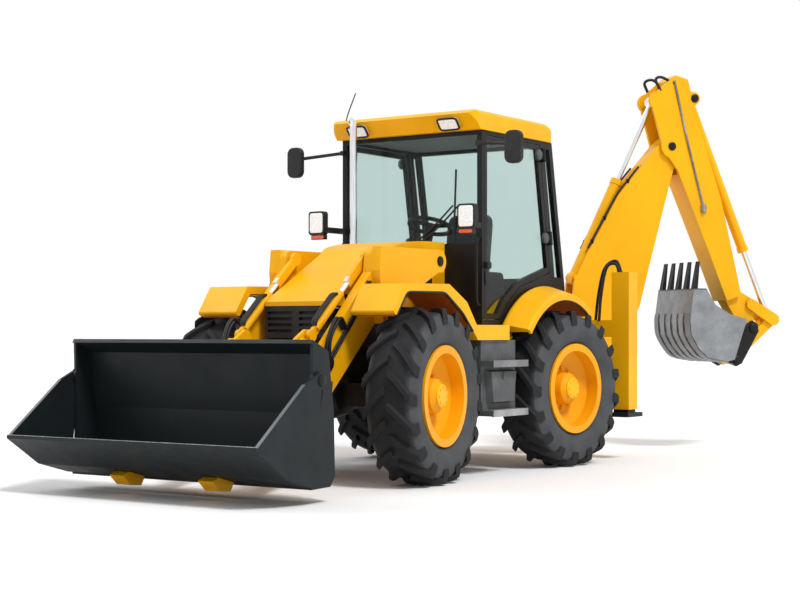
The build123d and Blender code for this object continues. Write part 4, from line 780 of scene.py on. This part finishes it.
class LOADER_OT_fender_trim(bpy.types.Operator):
    """Rubber edging of the fenders with thin orange sheets under them as painted shade, step treads and the lock box.
    """

    bl_idname = "loader.fender_trim"
    bl_label = "Fender edging and steps"

    def execute(self, context):
        edge = context.scene.loader_trim.rubber_edge / 2
        under = [(2.640, 1.322), (2.500, 1.505), (1.965, 1.511), (1.700, 1.350), (1.545, 1.203)]
        front = run_round([(x, 0.978, z) for x, z in under], 0.05)
        a = np.radians(np.linspace(38.5, 127.5, 40))
        arch = np.stack([FENDER_R * np.cos(a), np.full(40, 0.992), AXLE_Z + FENDER_R * np.sin(a)], 1)
        fit("fender_edging", both([tube(front, edge), tube(arch, edge)]), "chassis", "hose")
        # Thin orange sheets just under the front fender tops and inside the rear arches: painted shade of the
        # undersides
        shade_sheet = run_round([(x, 0.600, z - 0.001) for x, z in under], 0.05)
        reach = np.radians(np.linspace(40, 126, 40))
        hollow = np.stack([SHADE_SHEET_R * np.cos(reach), np.full(40, 0.53), AXLE_Z + SHADE_SHEET_R * np.sin(reach)], 1)
        shade_sheets = [ribbon(shade_sheet, (0, 0.365, 0), (0, 0, -0.004)), ribbon(hollow, (0, 0.44, 0), (0, 0, -0.004))]
        fit("fender_shade_sheets", both(shade_sheets), "chassis", "shade_sheet")
        bars = []
        for z in (0.950, 0.540):
            for y in np.linspace(0.948, 1.066, 6):
                bars.append(block((0.832, y, z - 0.001), (1.388, y + 0.010, z + 0.010)))
            bars.append(block((0.826, 1.072, z - 0.045), (1.394, 1.088, z + 0.012)))
        fit("step_treads", both(bars), "chassis", "tread")
        box, faces = side_plate([(0.93, 0.60), (1.30, 0.60), (1.34, 0.88), (0.89, 0.88)], 0.955, 0.065)
        box[4:] = box[4:] * 0.9 + box[4:].mean(0) * 0.1
        catch = soft_box((1.10, 1.012, 0.80), (1.14, 1.030, 0.86), 0.4)
        fit("lock_boxes", both([(box, faces), catch]), "chassis", "box")
        return {"FINISHED"}


class LOADER_OT_pipes(bpy.types.Operator):
    """Clamped hydraulic pipes on the arms, rams, boom and stabilisers, with their clips and pin caps."""

    bl_idname = "loader.pipes"
    bl_label = "Pipes and pin caps"

    def execute(self, context):
        t = context.scene.loader_trim
        lines, clips = [], []
        clip = soft_box((-0.018, -0.016, -0.022), (0.018, 0.016, 0.022), 0.3)
        for w in (0.086, -0.086):
            path = [(0.452, 2.045, w), (0.776, 2.602, w), (1.020, 2.880, w)]
            lines.append(tube(run_round(hoe(path), 0.12), t.pipe / 2))
            clips += [moved(clip, hoe((u, z, w))) for u, z in ((0.50, 2.11), (0.64, 2.35), (0.90, 2.73))]
        fit("boom_pipes", lines, "boom", "hose")
        fit("boom_clips", clips, "boom", "frame")
        w = 0.139 + t.pipe / 2
        pipe = tube(run_round(hoe([(1.40, 3.77, w), (1.56, 3.12, w), (1.74, 2.48, w)]), 0.12), t.pipe / 2)
        union = soft_box((-0.030, -0.020, -0.045), (0.030, 0.020, 0.045), 0.3)
        fit("dipper_pipe", [pipe, moved(union, hoe((1.74, 2.47, w)))], "dipper", "tread")
        bow = np.array([(1.25, 3.66, 0.13), (1.20, 3.77, 0.12), (1.28, 3.803, 0.10), (1.40, 3.74, 0.13)])
        lines = [tube(curve_through(hoe(bow * (1, 1, hand))), t.hose / 2) for hand in (1, -1)]
        fit("dipper_hoses", lines, "dipper", "hose")
        lines = []
        y = 0.482 + t.pipe / 2
        for beside in (0.0, 0.035):
            path = [(x + beside, y, z) for x, z in ((2.30, 1.60), (2.42, 1.40), (2.78, 1.02), (3.02, 0.76))]
            lines.append(tube(run_round(path, 0.08), t.pipe / 2))
        for k in (0, 1):
            bend = [(2.62 + 0.05 * k, 0.487, 1.22), (2.74 + 0.05 * k, 0.520, 1.30),
                    (2.86 + 0.03 * k, 0.520, 1.16), (2.84 + 0.05 * k, 0.487, 1.00)]
            lines.append(tube(curve_through(bend), 0.016))
        fit("arm_pipes", both(lines), "loader", "hose")
        boss = [(0.0, 0.070), (0.016, 0.068), (0.026, 0.050), (0.028, 0.014)]
        fit("crank_pin_caps", both([disc(boss, (2.850, 0.479, 0.960), LEFTWARD)]), "loader", "frame")
        crowd = unit(CROWD_EYE - CROWD_PIN)
        top = np.array([0.664, 0, 0.747])
        lines = []
        for y in (0.345, 0.371):
            stations = ((0.50, 0.036), (0.53, 0.062), (0.84, 0.062), (0.87, 0.036))
            path = [CROWD_PIN + (0, y, 0) + crowd * a + top * b for a, b in stations]
            lines.append(tube(run_round(path, 0.03), 0.013))
        fit("crowd_ram_pipes", both(lines), "crowd_barrels", "hose")
        runs = (
            [(-0.93, 1.06, 1.755), (-0.93, 1.02, 1.84), (-0.92, 0.93, 1.80), (-0.91, 0.88, 1.55),
             (-0.905, 0.86, 1.30)],
            [(-0.98, 1.06, 1.755), (-0.98, 1.00, 1.87), (-0.96, 0.89, 1.80), (-0.95, 0.83, 1.55),
             (-0.95, 0.80, 1.305)],
        )
        lines = [tube(curve_through(path), 0.014) for path in runs]
        fit("stabiliser_pipes", both(lines), "chassis", "hose")
        cap = [(0.0, 0.044), (0.010, 0.042), (0.016, 0.030), (0.018, 0.010)]
        fit("arm_pin_caps", both([disc(cap, (1.400, 0.564, 1.790), LEFTWARD)]), "loader", "frame")
        caps = [disc(cap, hoe((u, z, 0.139)), HOE_LEFT) for u, z in ((1.378, 3.097), (1.640, 3.600))]
        fit("dipper_pin_caps", caps, "dipper", "frame")
        return {"FINISHED"}


class LOADER_OT_bucket_trim(bpy.types.Operator):
    """Edges, bolts, seals and toes of the loader bucket, wear strips and hitch cheeks of the digging bucket."""

    bl_idname = "loader.bucket_trim"
    bl_label = "Bucket edges and strips"

    def execute(self, context):
        lip = ribbon([(4.465, -1.190, 0.3775), (4.554, -1.190, 0.4345)], (0, 2.380, 0), (-0.0032, 0, 0.005))
        cheek = ribbon([(4.545, 1.164, 0.432), (4.040, 1.164, 0.834)], (0, 0.028, 0), (0.0015, 0, 0.0025))
        fit("clam_edges", [lip] + both([cheek]), "clam", "edge")
        y = np.linspace(-1.08, 1.08, 9)
        where = np.stack([np.full(9, 4.500), y, np.full(9, 0.405)], 1)
        fit("clam_bolts", [nuts(where, (-0.54, 0, 0.84), 0.017, 0.012)], "clam", "edge")
        pins = disc([(0.0, 0.042), (0.010, 0.040), (0.016, 0.028), (0.018, 0.010)], (3.853, 1.190, 0.859), LEFTWARD)
        toe_outline = [(3.97, 0.131), (4.13, 0.176), (4.20, 0.150), (4.12, 0.075), (4.01, 0.065)]
        toe = side_plate(toe_outline, 0.36, 0.14)
        seal = side_plate([(3.795, 0.850), (3.950, 0.135), (3.790, 0.135), (3.690, 0.850)], 1.1625, 0.003)
        fit("clam_seals", both([seal]), "clam", "bucket")
        fit("bucket_toes", both([toe]), "clam", "body")
        fit("clam_pin_caps", both([pins]), "clam", "frame")
        heel = [(1.464, 1.385), (1.455, 1.310), (1.472, 1.168), (1.558, 1.030), (1.662, 0.941), (1.885, 0.899)]
        line = curve_through(heel, 36)
        ahead = unit(np.gradient(line, axis=0))
        out = np.stack([ahead[:, 1], -ahead[:, 0]], 1)
        out *= np.sign(np.sum(out * (line - np.array([1.75, 1.25])), 1))[:, None]
        low, high = line - out * 0.003, line + out * 0.011
        strips = []
        for w in np.linspace(-0.365, 0.285, 6):
            section = ((low, w), (high, w), (high, w + 0.08), (low, w + 0.08))
            rows = [np.column_stack([p, np.full(len(p), v)]) for p, v in section]
            strips.append((hoe(np.stack(rows, 1)).reshape(-1, 3), capped_faces(len(line), 4)))
        run = unit(DIG_LINK_PIN - DIG_PIN)
        side = np.array([-run[1], run[0]])
        corners = [
            pin + run * a + side * b for pin, a, b in (
                (DIG_PIN, -0.06, 0.02), (DIG_PIN, 0, 0.07), (DIG_LINK_PIN, 0, 0.06), (DIG_LINK_PIN, 0.06, 0.02),
                (DIG_LINK_PIN, 0.06, -0.05), (DIG_LINK_PIN, 0, -0.07), (DIG_PIN, 0, -0.07), (DIG_PIN, -0.06, -0.05),
            )
        ]
        cheeks = [prism(hoe([(*c, w) for c in corners]), HOE_LEFT * 0.045) for w in (-0.200, 0.155)]
        boss = [(0.0, 0.050), (0.014, 0.048), (0.022, 0.034)]
        bosses = [disc(boss, hoe((*pin, 0.199)), HOE_LEFT, 24) for pin in (DIG_PIN, DIG_LINK_PIN)]
        fit("hitch_cheeks", cheeks + bosses, "dig_bucket", "frame")
        fit("dig_bucket_strips", strips, "dig_bucket", "steel")
        return {"FINISHED"}


class LOADER_OT_hood_trim(bpy.types.Operator):
    """Plain black plates and slanted vents on the hood's flanks."""

    bl_idname = "loader.hood_trim"
    bl_label = "Hood plates and vents"

    def execute(self, context):
        plate = side_plate([(1.14, 1.775), (1.52, 1.785), (1.58, 1.870), (1.18, 1.895)], 0.3635, 0.003)
        vents = [
            side_plate([(x, 1.43), (x + 0.045, 1.43), (x + 0.075, 1.50), (x + 0.030, 1.50)], 0.3115, 0.003)
            for x in np.linspace(1.96, 2.34, 6)
        ]
        fit("hood_plates", both([plate] + vents), "hood", "plastic")
        return {"FINISHED"}


class LOADER_OT_stage(bpy.types.Operator):
    """Pale floor, soft studio light and the camera."""

    bl_idname = "loader.stage"
    bl_label = "Stage"

    def execute(self, context):
        scene = context.scene
        s = scene.loader_stage
        scene.view_settings.view_transform = "Standard"
        mesh = bpy.data.meshes.new("studio_floor")
        far = 60.0
        mesh.from_pydata([(-far, -far, 0), (far, -far, 0), (far, far, 0), (-far, far, 0)], [], [(0, 1, 2, 3)])
        floor = bpy.data.objects.new("studio_floor", mesh)
        scene.collection.objects.link(floor)
        f = Finish("studio_floor")
        f.colour(f.mix(f.noise(0.6, 2), tuple(s.floor), shade(s.floor, 0.985)))
        f.set(Roughness=0.8)
        mesh.materials.append(f.material)
        world = bpy.data.worlds.new("studio_sky")
        world.use_nodes = True
        scene.world = world
        tree = world.node_tree
        back = tree.nodes["Background"]
        back.inputs["Color"].default_value = (1.0, 1.0, 1.0, 1.0)
        path = tree.nodes.new("ShaderNodeLightPath")
        seen = path.outputs["Is Camera Ray"]
        for key in ("Is Glossy Ray", "Is Transmission Ray"):
            either = tree.nodes.new("ShaderNodeMath")
            either.operation = "MAXIMUM"
            tree.links.new(seen, either.inputs[0])
            tree.links.new(path.outputs[key], either.inputs[1])
            seen = either.outputs[0]
        level = tree.nodes.new("ShaderNodeMapRange")
        level.inputs["To Min"].default_value = s.sky
        level.inputs["To Max"].default_value = 1.0
        tree.links.new(seen, level.inputs["Value"])
        tree.links.new(level.outputs["Result"], back.inputs["Strength"])
        for name, energy, turn, spread in (
            ("key_sun", s.key, (38, 0, 160), 14), ("rim_sun", s.key * 0.35, (55, 0, 20), 30),
        ):
            lamp = bpy.data.lights.new(name, "SUN")
            lamp.energy = energy
            lamp.angle = math.radians(spread)
            obj = bpy.data.objects.new(name, lamp)
            obj.rotation_euler = [math.radians(a) for a in turn]
            scene.collection.objects.link(obj)
        camera = bpy.data.cameras.new("photo_camera")
        camera.lens = s.lens
        camera.sensor_width = 36.0
        camera.shift_x, camera.shift_y = (d / PHOTO_WIDTH for d in CAMERA_SHIFT)
        camera.clip_end = 200
        obj = bpy.data.objects.new("photo_camera", camera)
        obj.location = CAMERA_AT
        obj.rotation_euler = (math.radians(90), 0, math.radians(CAMERA_HEADING - 90))
        scene.collection.objects.link(obj)
        scene.camera = obj
        return {"FINISHED"}


class LOADER_PT_panel(bpy.types.Panel):
    """Lists what dresses the machine."""

    bl_idname = "LOADER_PT_panel"
    bl_label = "Loader"
    bl_space_type = "VIEW_3D"
    bl_region_type = "UI"
    bl_category = "Loader"

    def draw(self, context):
        for operator in OPERATORS:
            self.layout.operator(operator.bl_idname)


OPERATORS = (
    LOADER_OT_paint, LOADER_OT_tyres, LOADER_OT_wheel_nuts, LOADER_OT_cab_fittings, LOADER_OT_fender_trim,
    LOADER_OT_pipes, LOADER_OT_bucket_trim, LOADER_OT_hood_trim, LOADER_OT_stage,
)
GROUPS = (("loader_paint", LoaderPaint), ("loader_tyre", LoaderTyre), ("loader_trim", LoaderTrim),
          ("loader_stage", LoaderStage))


def register():
    for name, group in GROUPS:
        bpy.utils.register_class(group)
        setattr(bpy.types.Scene, name, PointerProperty(type=group))
    for operator in OPERATORS:
        bpy.utils.register_class(operator)
    bpy.utils.register_class(LOADER_PT_panel)


def unregister():
    bpy.utils.unregister_class(LOADER_PT_panel)
    for operator in reversed(OPERATORS):
        bpy.utils.unregister_class(operator)
    for name, group in reversed(GROUPS):
        delattr(bpy.types.Scene, name)
        bpy.utils.unregister_class(group)


def main():
    register()
    for operator in OPERATORS:
        family, name = operator.bl_idname.split(".")
        getattr(getattr(bpy.ops, family), name)()


if __name__ == "__main__":
    main()
